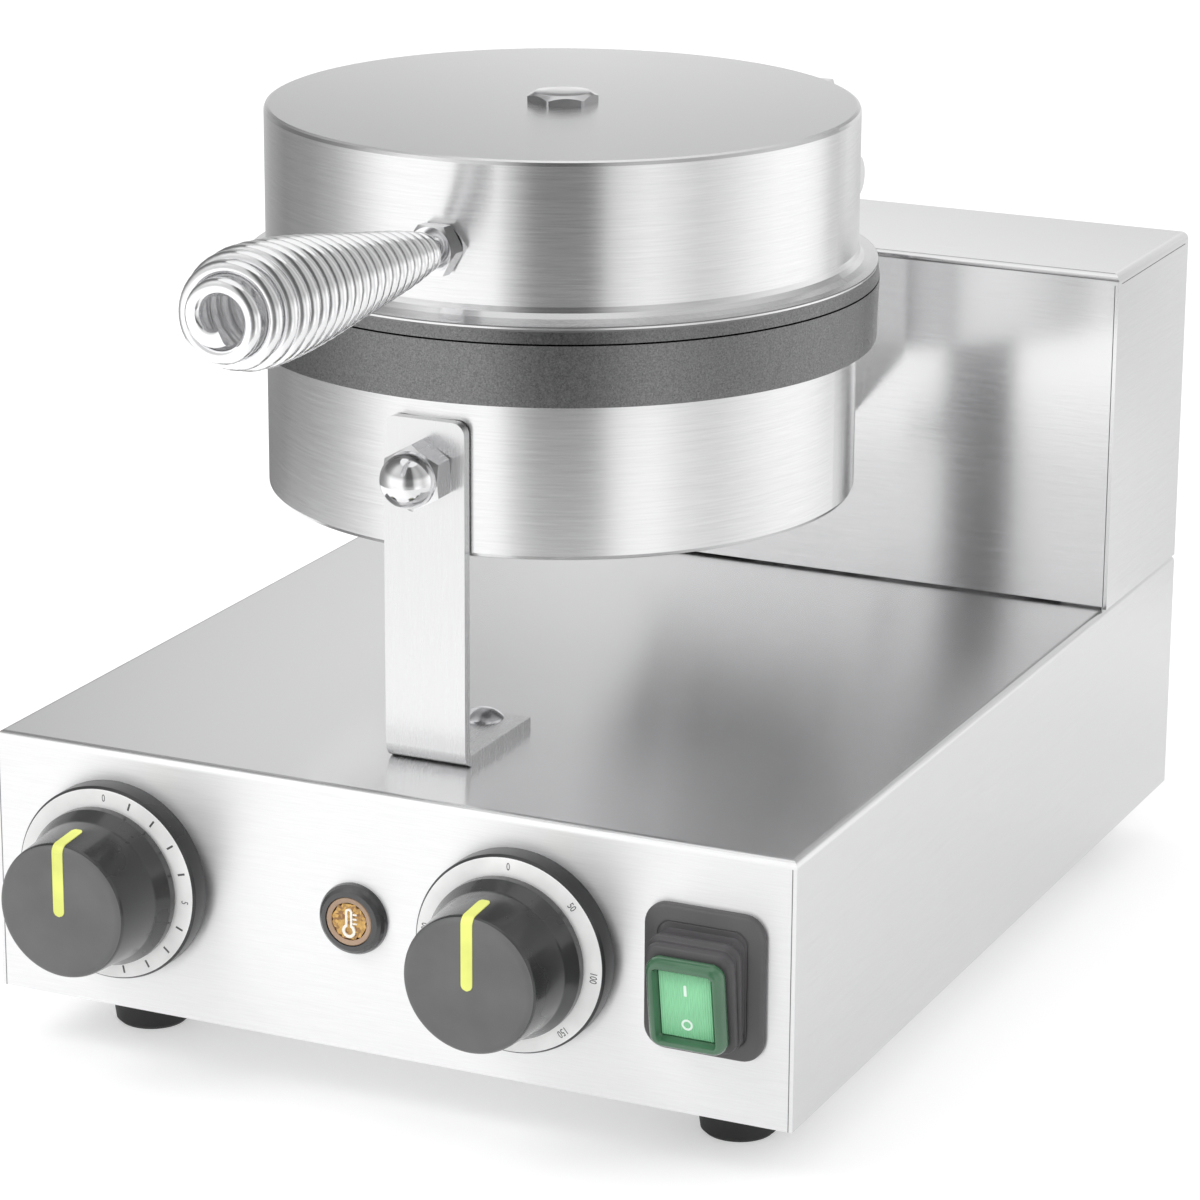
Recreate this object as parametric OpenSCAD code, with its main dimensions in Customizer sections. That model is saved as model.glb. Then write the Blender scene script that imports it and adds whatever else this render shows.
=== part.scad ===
// Round waffle maker: closed cooking head on a low stainless base, lid hinged behind.
// Drawn with X across, Y from the control panel to the back, Z up from the floor.

/* [Base] */
// Width of the base and of the rear tower
base_w = 240; // [220:1:280]
// Height of the base housing, without its feet
base_h = 75; // [70:1:95]
// Thickness of the casing sheet
sheet_t = 1.5; // [1:0.1:2]
// Outer radius of the folded edges
fold_r = 2.2; // [2.1:0.1:3]
// Height of the feet
foot_h = 17; // [14:1:25]
// Diameter of a foot on the floor
foot_d = 21; // [20:1:26]
// Distance from a side to the middle of a foot
foot_inset_x = 29; // [26:1:40]
// Distance from the front or rear to the middle of a foot
foot_inset_y = 33; // [28:1:45]

/* [Tower] */
// Depth of the rear tower
tower_d = 65.5; // [50:0.5:90]
// Height of the tower above the base
tower_h = 103; // [85:1:110]

/* [Cooking head] */
// Outer diameter of both drum shells
drum_d = 165; // [150:1:172]
// Distance of the drum axis behind the control panel
drum_y = 112; // [108:0.5:113]
// Height of the lower shell above the base
drum_lift = 59; // [50:1:70]
// Height of the lower shell
lower_shell_h = 43.5; // [42:0.5:50]
// Outer diameter of the two plate rims
plate_d = 177; // [174:1:180]
// Height of the lower plate's rim
lower_rim_h = 16.8; // [14:0.1:20]
// Gap between the closed plates
parting_gap = 0.5; // [0.3:0.1:1]
// Height of the upper plate's rim
upper_rim_h = 3.2; // [2.5:0.1:4]
// Height of the upper shell
upper_shell_h = 44; // [42:0.5:52]
// Diameter of the waffle
waffle_d = 152; // [140:1:153]
// Depth of each plate's pocket
pocket_h = 8.4; // [7:0.1:10]
// Height of the square studs in the pockets
stud_h = 5.3; // [4:0.1:5.5]
// Side of a stud
stud_w = 11.5; // [8:0.5:14]
// Distance from stud to stud
stud_pitch = 19; // [16:0.5:24]

/* [Handle] */
// Length of the coil handle from the shell's fitting to its tip
handle_l = 113.5; // [100:0.5:130]
// Upward tilt of the handle
handle_tilt = 3.3; // [0:0.1:8]
// Distance of the handle to the right of the middle
handle_x = 3.5; // [0:0.5:6]
// Height of the handle's root above the upper shell's lower edge
handle_rise = 19.7; // [17:0.1:24]
// Diameter of the handle's wire
wire_d = 4.3; // [4:0.1:4.5]
// Widest diameter of the coil, outside
coil_d = 31.4; // [28:0.2:36]
// Number of turns in the coil
coil_turns = 21; // [18:1:21]

/* [Controls] */
// Height of the row of controls above the base's lower edge
row_h = 38.4; // [36:0.1:42]
// Timer's place left of the middle, as a share of the base's width
timer_share = 0.34; // [0.325:0.001:0.345]
// Thermostat's place right of the middle, as a share of the base's width
thermostat_share = 0.171; // [0.15:0.001:0.182]
// Lamp's place left of the middle, as a share of the base's width
lamp_share = 0.034; // [0.018:0.001:0.06]
// Switch's place right of the middle, as a share of the base's width
switch_share = 0.396; // [0.386:0.001:0.4]
// Diameter of a dial against the panel
dial_d = 55.6; // [50:0.1:57]
// Thickness of a dial
dial_t = 6.4; // [5:0.1:8]
// Diameter of a knob's skirt
knob_d = 45; // [40:0.5:48]
// Distance from the panel to a knob's front
knob_reach = 31; // [28:0.5:36]
// Width of the switch frame
switch_w = 33.8; // [32:0.1:36]
// Height of the switch frame
switch_h = 40.4; // [38:0.1:44]
// Tilt of the rocker each way from the middle
rocker_tilt = 9; // [6:0.5:10]
// Diameter of the lamp's bezel
lamp_d = 20.2; // [18:0.1:22]

/* [Hinge] */
// Distance of the hinge axis behind the drum
hinge_back = 27.5; // [26:0.1:29]
// Height of the hinge axis above the upper shell's lower edge
hinge_rise = 6; // [5:0.1:7]
// Distance from the hinge axis back to the tower
hinge_clear = 19.5; // [17:0.5:30]
// Opening angle at which the lid meets its stop
lid_open = 100; // [90:1:105]
// Diameter of the hinge pin
pin_d = 8; // [6:0.1:10]

/* [Hidden] */
$fn = 72;

// General clearances
full_turn = 360;
over = 1;
fit_gap = 0.3;
run_gap = 0.05;
hole_gap = 0.2;

// Heights from the floor
base_z = foot_h;
base_top = base_z + base_h;
tower_top = base_top + tower_h;
lower_shell_z = base_top + drum_lift;
lower_rim_z = lower_shell_z + lower_shell_h;
parting_z = lower_rim_z + lower_rim_h;
upper_rim_z = parting_z + parting_gap;
upper_shell_z = upper_rim_z + upper_rim_h;
lid_z = upper_shell_z + upper_shell_h;
row_z = base_z + row_h;

// Drum
drum_r = drum_d / 2;
plate_r = plate_d / 2;
drum_front = drum_y - drum_r;
drum_back = drum_y + drum_r;
shell_edge_r = 1.3;
skirt_lip_h = 1.3;
skirt_flare_h = 4;
skirt_r = plate_r - 0.5;
spigot_gap = 0.4;
spigot_h = 7.5;
spigot_r = drum_r - sheet_t - spigot_gap;
pocket_r = waffle_d / 2;
plate_floor = 6.5;
gutter_w = 2.6;
gutter_h = 2;
gutter_r = (pocket_r + plate_r) / 2 - gutter_w / 2;
rim_taper = 0.5;

// Heaters and the stack that clamps each plate
heater_d = 8;
heater_r = 52;
heater_gap = 0.2;
heater_sweep = 330;
heater_leg = 16;
heater_leg_d = 6.5;
leg_inset_angle = 5;
leg_angle = (full_turn - heater_sweep) / 2 + leg_inset_angle;
press_t = 1.5;
press_inset = 4;
press_r = pocket_r - press_inset;
boss_d = 24;
clamp_d = 8;
clamp_bite = 9;
spacer_d = 18;
clamp_head_af = 13;
clamp_head_h = 5.3;
lid_head_af = 16;
lid_head_h = 3;
bulb_d = 6;
bulb_l = 34;
bulb_block = [36, 12, 8];
bulb_offset = 26;

// Front and rear brackets
strip_w = 24;
strip_t = 3;
strip_h = 96.5;
strip_foot = 40.6;
strip_bend_r = 4.5;
strip_corner_r = 3.5;
strip_y = drum_front - strip_t;
bolt_z = lower_shell_z + 23.1;
bolt_d = 10;
bolt_af = 16;
bolt_head_h = 6.4;
bolt_nut_h = 8;
dome_d = 15.4;
dome_reach = 16.6;
foot_screw_pitch = 22;
foot_screw_edge = 5.6;
bracket_screw_d = 5;
bracket_head_d = 10;
bracket_head_h = 2.6;
bracket_nut_af = 8;
bracket_nut_h = 4;
rear_w = 70;
rear_h = lower_shell_h - 5;
rear_step = 4;
rear_flange_w = 17;
rear_low_z = lower_shell_z - 10;
rear_top_z = min(tower_top - 3, lower_shell_z + rear_h);
rear_screw_edge = 10;

// Hinge
hinge_y = drum_back + hinge_back;
hinge_z = upper_shell_z + hinge_rise;
tower_y = hinge_y + hinge_clear;
base_d = tower_y + tower_d;
ear_r = 10;
ear_t = strip_t;
arm_gap = 0.5;
arm_t = 3;
arm_in = rear_w / 2 + arm_gap;
arm_out = arm_in + arm_t;
arm_r = 9;
arm_low = 1.5;
arm_high = 30;
arm_brow = 6.5;
arm_heel = 13;
arm_heel_h = 4;
arm_screw_x = 18;
arm_screw_z = 15;
arm_screw_d = 5;
arm_screw_head_d = 8.5;
arm_screw_head_h = 5;
stop_r = 3;
stop_along = 8;
stop_off = arm_r + stop_r + fit_gap;
stop_y = hinge_y - stop_off * sin(lid_open) + stop_along * cos(lid_open);
stop_z = hinge_z - stop_off * cos(lid_open) - stop_along * sin(lid_open);
stop_l = 4;
pin_head_af = 13;
pin_head_h = 5.3;

// Handle fitting and coil
handle_af = 13;
handle_boss_h = 5.5;
handle_stud_d = 8;
handle_stud_l = 8.2;
handle_locknut_h = 5;
handle_y = drum_y - sqrt(drum_r * drum_r - handle_x * handle_x);
handle_z = upper_shell_z + handle_rise;
boss_seat = 0.6;
ring_count = 8;
side_count = 6;
coil_root_r = 3.3;
coil_belly_r = (coil_d - wire_d) / 2;
coil_tip_r = 6.9;
tail_share = 0.98;
// Radius of the coil along its length: share of the length, then of root to belly radius
taper_shares = [[0, 0], [0.13, 0.23], [0.34, 0.5], [0.62, 0.86], [0.76, 0.98], [0.85, 1]];

coil_pitch = (handle_l - wire_d / 2 - tail_share * coil_root_r) / coil_turns;
climb = atan(coil_pitch / (2 * PI * coil_root_r));
bend_turn = 90 - climb;
bend_rise = coil_root_r * sin(bend_turn);
bend_angle = (1 - cos(bend_turn)) * 180 / PI;
tip_straight_angle = atan(wire_d / coil_tip_r);
cut_end_angle = -65;
coil_end_angle = cut_end_angle - tip_straight_angle;
coil_sweep = full_turn * coil_turns;
coil_start_angle = coil_end_angle - coil_sweep;

// Controls
timer_x = -timer_share * base_w;
thermostat_x = thermostat_share * base_w;
lamp_x = -lamp_share * base_w;
switch_x = switch_share * base_w;
spindle_d = 6;
spindle_in = 12;
bushing_d = 10;
bushing_out = 5.9;
dial_wall = 2;
dial_face_t = 1.6;
dial_draft = 1.3;
dial_hub_d = 16;
knob_gap = 1;
knob_skirt_t = 2.4;
knob_body_d = 42.6;
knob_nose_d = 37.2;
knob_round = 2.2;
knob_wall = 2.2;
knob_hub_d = 12;
timer_box = [44, 30, 44];
thermostat_box = [36, 26, 40];
control_screw_x = 14.5;
control_screw_d = 4;
control_head_d = 7;
control_head_h = 2.4;
control_screw_l = 8;
lamp_dome_h = 3.4;
lamp_mouth_d = 14;
lamp_barrel_d = 13;
lamp_barrel_l = 22;
lamp_nut_af = 17;
lamp_nut_h = 4;
lamp_lens_t = 2.2;
lamp_lens_rise = 0.9;
frame_t = 3;
frame_r = 6;
frame_edge = 1;
boot_step = 1.3;
boot_w = 27.4;
boot_h = 32.2;
boot_t = 5.6;
boot_r = 4.6;
hood_w = 21;
hood_h = 25.6;
hood_t = 4.2;
hood_r = 3.4;
hood_wall = 3.2;
hood_skirt_w = 18.6;
hood_skirt_h = 19.6;
hood_skirt_t = 5;
hood_out = 10.9;
hood_leg_w = 8;
hood_leg_t = 2.5;
trunnion_d = 4;
trunnion_l = 2.2;
rocker_w = 14;
rocker_h = 18.8;
rocker_t = 2.3;
rocker_sink = 1.8;
rocker_ledge = 1.5;
pivot_y = 4;
switch_box = [25, 24, 30];

// Casing details
flange_w = 14;
case_screw_d = 4;
case_head_d = 7.4;
case_head_h = 2.4;
case_screw_l = 8;
vent_w = 3;
vent_l = 34;
vent_pitch = 9;
vent_rows = 6;
tower_seam = 0.8;
foot_top_d = 25;
foot_edge = 1;
foot_bore_d = 11;
foot_bore_h = 8;
foot_bolt_d = 5;
foot_head_d = 9.4;
foot_head_h = 3.4;
foot_nut_af = 8;
foot_nut_h = 4;
gland_x = 35 - base_w / 2;
gland_h = 28;
gland_d = 20;
gland_bore_d = 8.5;
gland_af = 24;
gland_hex_t = 5;
gland_nose_l = 15;
gland_barrel_l = 12;
gland_lock_t = 5;
terminal_box = [52, 22, 18];
terminal_gap = 24;

// The origin is the middle of the floor area under the whole machine
handle_tip_y = handle_y - boss_seat - handle_boss_h;
coil_points = coil_path();
front_reach = max([for (p = coil_points) -p[1]]) + wire_d / 2;
rear_reach = base_d + gland_hex_t + gland_nose_l;
origin_y = (front_reach - rear_reach) / 2;

// Everything is drawn from the control panel's face, then moved to the origin
module placed() {
    translate([0, origin_y, 0])
        children();
}

module forward() {
    rotate([90, 0, 0])
        children();
}

module backward() {
    rotate([-90, 0, 0])
        children();
}

module at_drum(z) {
    translate([0, drum_y, z])
        children();
}

module at_panel(x) {
    translate([x, 0, row_z])
        children();
}

module mirrored_x() {
    children();
    mirror([1, 0, 0])
        children();
}

// Hexagonal head or nut with its chamfered ends, along +Z
module hex_head(af, h, chamfer_low = true) {
    corner_r = af / 2 / cos(30);
    flat_r = af / 2 * 0.97;
    chamfer = (corner_r - flat_r) * tan(30);
    intersection() {
        cylinder(r = corner_r, h = h, $fn = 6);
        rotate_extrude()
            polygon([
                [0, 0],
                [chamfer_low ? flat_r : corner_r, 0],
                [corner_r, chamfer_low ? chamfer : 0],
                [corner_r, h - chamfer],
                [flat_r, h],
                [0, h]
            ]);
    }
}

module hex_nut(af, h, bore) {
    difference() {
        hex_head(af, h);
        translate([0, 0, -over])
            cylinder(d = bore, h = h + 2 * over);
    }
}

// Low domed screw head along +Z, with a cross recess
module dome_head(d, h) {
    ball_r = (d * d / 4 + h * h) / (2 * h);
    slot_w = d / 8;
    difference() {
        intersection() {
            cylinder(d = d, h = h);
            translate([0, 0, h - ball_r])
                sphere(r = ball_r);
        }
        for (a = [0, 90])
            rotate([0, 0, a])
                translate([-d / 4, -slot_w / 2, h / 2])
                    cube([d / 2, slot_w, h]);
    }
}

// Screw along -Z under a domed head
module dome_screw(d, head_d, head_h, l) {
    dome_head(head_d, head_h);
    translate([0, 0, -l])
        cylinder(d = d, h = l + head_h / 4);
}

// Outline with rounded corners at chosen radius
module soft_rect(w, h, r) {
    translate([-w / 2 + r, -h / 2])
        square([w - 2 * r, h]);
    translate([-w / 2, -h / 2 + r])
        square([w, h - 2 * r]);
    for (x = [-1, 1], y = [-1, 1])
        translate([x * (w / 2 - r), y * (h / 2 - r)])
            circle(r = r);
}

// Side outline of a folded case: square at the foot, rounded where left and right say
module fold_outline(w, h, left_r, right_r) {
    difference() {
        square([w, h]);
        if (left_r > 0)
            translate([0, h - left_r])
                difference() {
                    translate([-over, 0])
                        square([left_r + over, left_r + over]);
                    translate([left_r, 0])
                        circle(r = left_r);
                }
        if (right_r > 0)
            translate([w - right_r, h - right_r])
                difference() {
                    square([right_r + over, right_r + over]);
                    circle(r = right_r);
                }
    }
}

// Solid with folded top edges, standing on Z = 0, front face on Y = 0
module folded_block(w, d, h, r, rear_r) {
    intersection() {
        translate([-w / 2, d, 0])
            rotate([90, 0, 0])
                linear_extrude(d)
                    fold_outline(w, h, r, r);
        translate([-w / 2 - over, 0, 0])
            rotate([90, 0, 90])
                linear_extrude(w + 2 * over)
                    fold_outline(d, h, r, rear_r);
    }
}

// Places of the fasteners
function foot_places() = [
    [-base_w / 2 + foot_inset_x, foot_inset_y],
    [base_w / 2 - foot_inset_x, foot_inset_y],
    [-base_w / 2 + foot_inset_x, base_d - foot_inset_y],
    [base_w / 2 - foot_inset_x, base_d - foot_inset_y]
];
flange_mid = sheet_t + flange_w / 2;
function panel_screw_places() = [
    for (x = [-1, 1], y = [0.3, 0.5, 0.7]) [x * (base_w / 2 - flange_mid), y * base_d],
    for (x = [-0.2, 0.2], y = [flange_mid, base_d - flange_mid]) [x * base_w, y]
];
function cover_screw_places() = [
    for (x = [-1, 1], z = [0.2, 0.8]) [x * (base_w / 2 - flange_mid), base_top + z * tower_h],
    for (x = [-0.2, 0.2]) [x * base_w, tower_top - flange_mid]
];
function tower_screw_places() = [
    for (x = [-1, 1], y = [0.3, 0.7]) [x * (base_w / 2 - flange_mid), tower_y + y * tower_d]
];
strip_screw_far = strip_y + strip_foot - foot_screw_edge;
function strip_screw_places() = [
    [0, strip_screw_far],
    [0, strip_screw_far - foot_screw_pitch]
];
rear_screw_x = rear_w / 2 - ear_t - rear_flange_w / 2;
function rear_screw_places() = [
    for (x = [-1, 1], z = [rear_low_z + rear_screw_edge, rear_top_z - rear_screw_edge])
        [x * rear_screw_x, z]
];
vent_x = [for (i = [0:vent_rows - 1]) (i - (vent_rows - 1) / 2) * vent_pitch];

// Base
panel_z = base_z + sheet_t;

module base_housing() {
    color("gainsboro")
        difference() {
            union() {
                difference() {
                    translate([0, 0, base_z])
                        folded_block(base_w, base_d, base_h, fold_r, fold_r);
                    translate([0, sheet_t, base_z - over])
                        folded_block(base_w - 2 * sheet_t, base_d - 2 * sheet_t,
                            base_h - sheet_t + over, fold_r - sheet_t, fold_r - sheet_t);
                }
                base_flange();
            }
            panel_holes();
            for (p = strip_screw_places())
                translate([p[0], p[1], base_top - sheet_t - over])
                    cylinder(d = bracket_screw_d + hole_gap, h = sheet_t + 2 * over);
            for (p = tower_screw_places())
                translate([p[0], p[1], base_top - sheet_t - over])
                    cylinder(d = case_screw_d + hole_gap, h = sheet_t + 2 * over);
            for (p = panel_screw_places())
                translate([p[0], p[1], panel_z - over])
                    cylinder(d = case_screw_d + hole_gap, h = sheet_t + 2 * over);
            translate([gland_x, base_d - sheet_t - over, base_z + gland_h])
                backward()
                    cylinder(d = gland_d + hole_gap, h = sheet_t + 2 * over);
        }
}

module base_flange() {
    rim = sheet_t / 2;
    translate([-base_w / 2 + rim, rim, panel_z])
        difference() {
            cube([base_w - 2 * rim, base_d - 2 * rim, sheet_t]);
            translate([rim + flange_w, rim + flange_w, -over])
                cube([base_w - 4 * rim - 2 * flange_w, base_d - 4 * rim - 2 * flange_w,
                    sheet_t + 2 * over]);
        }
}

module panel_holes() {
    for (x = [timer_x, thermostat_x])
        at_panel(x)
            translate([0, -over, 0])
                backward() {
                    cylinder(d = bushing_d + hole_gap, h = sheet_t + 2 * over);
                    for (s = [-1, 1])
                        translate([s * control_screw_x, 0, 0])
                            cylinder(d = control_screw_d + hole_gap, h = sheet_t + 2 * over);
                }
    at_panel(lamp_x)
        translate([0, -over, 0])
            backward()
                cylinder(d = lamp_barrel_d + hole_gap, h = sheet_t + 2 * over);
    at_panel(switch_x)
        translate([-switch_box[0] / 2 - hole_gap, -over, -switch_box[2] / 2 - hole_gap])
            cube([switch_box[0] + 2 * hole_gap, sheet_t + 2 * over, switch_box[2] + 2 * hole_gap]);
}

module base_bottom_panel() {
    inset = sheet_t + fit_gap;
    color("silver")
        difference() {
            translate([-base_w / 2 + inset, inset, base_z])
                cube([base_w - 2 * inset, base_d - 2 * inset, sheet_t]);
            for (p = foot_places())
                translate([p[0], p[1], base_z - over])
                    cylinder(d = foot_bolt_d + hole_gap, h = sheet_t + 2 * over);
            for (p = panel_screw_places())
                translate([p[0], p[1], base_z - over])
                    cylinder(d = case_screw_d + hole_gap, h = sheet_t + 2 * over);
            for (y = [0.35, 0.6], x = vent_x)
                translate([x, y * base_d, base_z - over])
                    linear_extrude(sheet_t + 2 * over)
                        soft_rect(vent_w, vent_l, vent_w / 2.01);
        }
}

module bottom_panel_screws() {
    color("darkgray")
        for (p = panel_screw_places())
            translate([p[0], p[1], base_z])
                rotate([180, 0, 0])
                    dome_screw(case_screw_d, case_head_d, case_head_h, case_screw_l);
}

module foot() {
    bottom_r = foot_d / 2;
    color("dimgray")
        difference() {
            rotate_extrude()
                polygon([
                    [0, 0],
                    [bottom_r - foot_edge, 0],
                    [bottom_r, foot_edge],
                    [foot_top_d / 2, foot_h - foot_edge],
                    [foot_top_d / 2, foot_h],
                    [0, foot_h]
                ]);
            translate([0, 0, -over])
                cylinder(d = foot_bolt_d + hole_gap, h = foot_h + 2 * over);
            translate([0, 0, -over])
                cylinder(d = foot_bore_d, h = foot_bore_h + over);
        }
}

module foot_at(i) {
    translate([foot_places()[i][0], foot_places()[i][1], 0])
        foot();
}

module foot_fasteners() {
    color("darkgray")
        for (p = foot_places())
            translate([p[0], p[1], 0]) {
                translate([0, 0, foot_bore_h])
                    rotate([180, 0, 0])
                        dome_screw(foot_bolt_d, foot_head_d, foot_head_h,
                            base_z + sheet_t + foot_nut_h + over - foot_bore_h);
                translate([0, 0, panel_z])
                    hex_nut(foot_nut_af, foot_nut_h, foot_bolt_d + 2 * run_gap);
            }
}

// Tower
module tower_housing() {
    color("gainsboro")
        difference() {
            union() {
                difference() {
                    translate([0, tower_y, base_top])
                        folded_block(base_w, tower_d, tower_h, fold_r, 0);
                    translate([0, tower_y + sheet_t, base_top - over])
                        folded_block(base_w - 2 * sheet_t, tower_d,
                            tower_h - sheet_t + over, fold_r - sheet_t, 0);
                }
                mirrored_x()
                    translate([base_w / 2 - sheet_t - flange_w, tower_y + 2 * sheet_t, base_top])
                        cube([flange_w + sheet_t / 2, tower_d - 4 * sheet_t, sheet_t]);
                rear_flange();
            }
            translate([-base_w / 2 + sheet_t, tower_y - over, base_top - over])
                cube([base_w - 2 * sheet_t, sheet_t + over, over + tower_seam]);
            for (p = tower_screw_places())
                translate([p[0], p[1], base_top - over])
                    cylinder(d = case_screw_d + hole_gap, h = sheet_t + 2 * over);
            for (p = cover_screw_places())
                translate([p[0], base_d - 2 * sheet_t - over, p[1]])
                    backward()
                        cylinder(d = case_screw_d + hole_gap, h = sheet_t + 2 * over);
            for (p = rear_screw_places())
                translate([p[0], tower_y - over, p[1]])
                    backward()
                        cylinder(d = bracket_screw_d + hole_gap, h = sheet_t + 2 * over);
        }
}

module rear_flange() {
    rim = sheet_t / 2;
    translate([-base_w / 2 + rim, base_d - 2 * sheet_t, base_top])
        difference() {
            cube([base_w - 2 * rim, sheet_t, tower_h - rim]);
            translate([rim + flange_w, -over, -over])
                cube([base_w - 4 * rim - 2 * flange_w, sheet_t + 2 * over,
                    tower_h - 2 * rim - flange_w + over]);
        }
}

module tower_rear_cover() {
    inset = sheet_t + fit_gap;
    color("silver")
        difference() {
            translate([-base_w / 2 + inset, base_d - sheet_t, base_top + fit_gap])
                cube([base_w - 2 * inset, sheet_t, tower_h - inset - fit_gap]);
            for (p = cover_screw_places())
                translate([p[0], base_d - sheet_t - over, p[1]])
                    backward()
                        cylinder(d = case_screw_d + hole_gap, h = sheet_t + 2 * over);
            for (x = vent_x)
                translate([x, base_d - sheet_t - over, base_top + tower_h / 2])
                    backward()
                        linear_extrude(sheet_t + 2 * over)
                            soft_rect(vent_w, vent_l, vent_w / 2.01);
        }
}

module rear_cover_screws() {
    color("darkgray")
        for (p = cover_screw_places())
            translate([p[0], base_d, p[1]])
                backward()
                    dome_screw(case_screw_d, case_head_d, case_head_h, case_screw_l);
}

module tower_fixing_screws() {
    color("darkgray")
        for (p = tower_screw_places())
            translate([p[0], p[1], base_top + sheet_t])
                dome_screw(case_screw_d, case_head_d, case_head_h, case_screw_l);
}

module cable_gland() {
    color("dimgray")
        translate([gland_x, base_d, base_z + gland_h])
            backward()
                difference() {
                    union() {
                        hex_head(gland_af, gland_hex_t, false);
                        translate([0, 0, -gland_barrel_l])
                            cylinder(d = gland_d, h = gland_barrel_l + over);
                        gland_nose();
                    }
                    translate([0, 0, -gland_barrel_l - over])
                        cylinder(d = gland_bore_d, h = gland_barrel_l + gland_hex_t + gland_nose_l
                            + 2 * over);
                }
}

module gland_nose() {
    end_r = gland_bore_d / 2 + sheet_t;
    translate([0, 0, gland_hex_t - over])
        rotate_extrude()
            polygon([
                [0, 0],
                [gland_d / 2, 0],
                [gland_d / 2, over + gland_nose_l / 2],
                [end_r, over + gland_nose_l],
                [0, over + gland_nose_l]
            ]);
}

module gland_locknut() {
    color("dimgray")
        translate([gland_x, base_d - sheet_t, base_z + gland_h])
            forward()
                hex_nut(gland_af, gland_lock_t, gland_d + 2 * run_gap);
}

module terminal_block() {
    screws = 3;
    pitch = terminal_box[0] / screws;
    color("ivory")
        translate([gland_x - gland_d / 2, base_d - terminal_gap - gland_d - terminal_box[1], panel_z])
            difference() {
                cube(terminal_box);
                for (i = [0:screws - 1])
                    translate([pitch * (i + 0.5), terminal_box[1] / 2, terminal_box[2] / 2])
                        cylinder(d = case_head_d, h = terminal_box[2]);
            }
}

// Brackets
module front_bracket() {
    inner_r = strip_bend_r - strip_t;
    color("gainsboro")
        difference() {
            translate([-strip_w / 2, strip_y, base_top])
                rotate([90, 0, 90])
                    linear_extrude(strip_w) {
                        translate([0, strip_bend_r])
                            square([strip_t, strip_h - strip_bend_r]);
                        translate([strip_bend_r, 0])
                            square([strip_foot - strip_bend_r, strip_t]);
                        intersection() {
                            square([strip_bend_r, strip_bend_r]);
                            translate([strip_bend_r, strip_bend_r])
                                difference() {
                                    circle(r = strip_bend_r);
                                    circle(r = inner_r);
                                }
                        }
                    }
            strip_corner_cuts();
            translate([0, strip_y - over, bolt_z])
                backward()
                    cylinder(d = bolt_d + hole_gap, h = strip_t + 2 * over);
            for (p = strip_screw_places())
                translate([p[0], p[1], base_top - over])
                    cylinder(d = bracket_screw_d + hole_gap, h = strip_t + 2 * over);
        }
}

module strip_corner_cuts() {
    mirrored_x()
        translate([strip_w / 2 - strip_corner_r, strip_y - over,
            base_top + strip_h - strip_corner_r])
            difference() {
                cube([strip_corner_r + over, strip_t + 2 * over, strip_corner_r + over]);
                translate([0, -over, 0])
                    backward()
                        cylinder(r = strip_corner_r, h = strip_t + 4 * over);
            }
}

ear_step_z = lower_rim_z - ear_t;

// Channel that carries the lower drum and the hinge off the tower's front
module rear_bracket() {
    color("gainsboro")
        difference() {
            union() {
                translate([-rear_w / 2, drum_back, lower_shell_z])
                    cube([rear_w, ear_t, rear_h]);
                mirrored_x()
                    rear_side();
            }
            translate([0, drum_back - over, bolt_z])
                backward()
                    cylinder(d = bolt_d + hole_gap, h = ear_t + 2 * over);
            translate([-rear_w / 2 - over, hinge_y, hinge_z])
                rotate([0, 90, 0])
                    cylinder(d = pin_d + 2 * run_gap, h = rear_w + 2 * over);
            for (p = rear_screw_places())
                translate([p[0], tower_y - ear_t - over, p[1]])
                    backward()
                        cylinder(d = bracket_screw_d + hole_gap, h = ear_t + 2 * over);
        }
}

// One cheek of the rear bracket with its inward flange and its stop stud
module rear_side() {
    brow_r = stop_r + 2;
    translate([rear_w / 2 - ear_t, 0, 0])
        rotate([90, 0, 90])
            linear_extrude(ear_t) {
                polygon([
                    [drum_back, lower_shell_z],
                    [tower_y, rear_low_z],
                    [tower_y, rear_top_z],
                    [hinge_y + ear_r, hinge_z],
                    [hinge_y, hinge_z + ear_r / 2],
                    [stop_y, stop_z + brow_r],
                    [stop_y - brow_r, stop_z],
                    [drum_back + rear_step, stop_z - brow_r],
                    [drum_back + rear_step, ear_step_z],
                    [drum_back, ear_step_z]
                ]);
                translate([hinge_y, hinge_z])
                    circle(r = ear_r);
                translate([stop_y, stop_z])
                    circle(r = brow_r);
            }
    translate([rear_w / 2 - ear_t - rear_flange_w, tower_y - ear_t, rear_low_z])
        cube([rear_flange_w + ear_t, ear_t, rear_top_z - rear_low_z]);
    translate([rear_w / 2 - over, stop_y, stop_z])
        rotate([0, 90, 0])
            cylinder(r = stop_r, h = stop_l + over);
}

// Screw and nut through a bracket and the casing sheet, head towards +Z
module bracket_fastener() {
    grip = ear_t + sheet_t;
    dome_screw(bracket_screw_d, bracket_head_d, bracket_head_h, grip + bracket_nut_h + over);
    translate([0, 0, -grip - bracket_nut_h])
        hex_nut(bracket_nut_af, bracket_nut_h, bracket_screw_d + 2 * run_gap);
}

module bracket_fasteners() {
    color("darkgray") {
        for (p = strip_screw_places())
            translate([p[0], p[1], base_top + ear_t])
                bracket_fastener();
        for (p = rear_screw_places())
            translate([p[0], tower_y - ear_t, p[1]])
                forward()
                    bracket_fastener();
    }
}

// Bolt heads seat on the shell wall's middle line inside the drum
wall_in = drum_r - sheet_t;
head_corner = bolt_af / 2;
head_seat = wall_in - sqrt(wall_in * wall_in - head_corner * head_corner);

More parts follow.
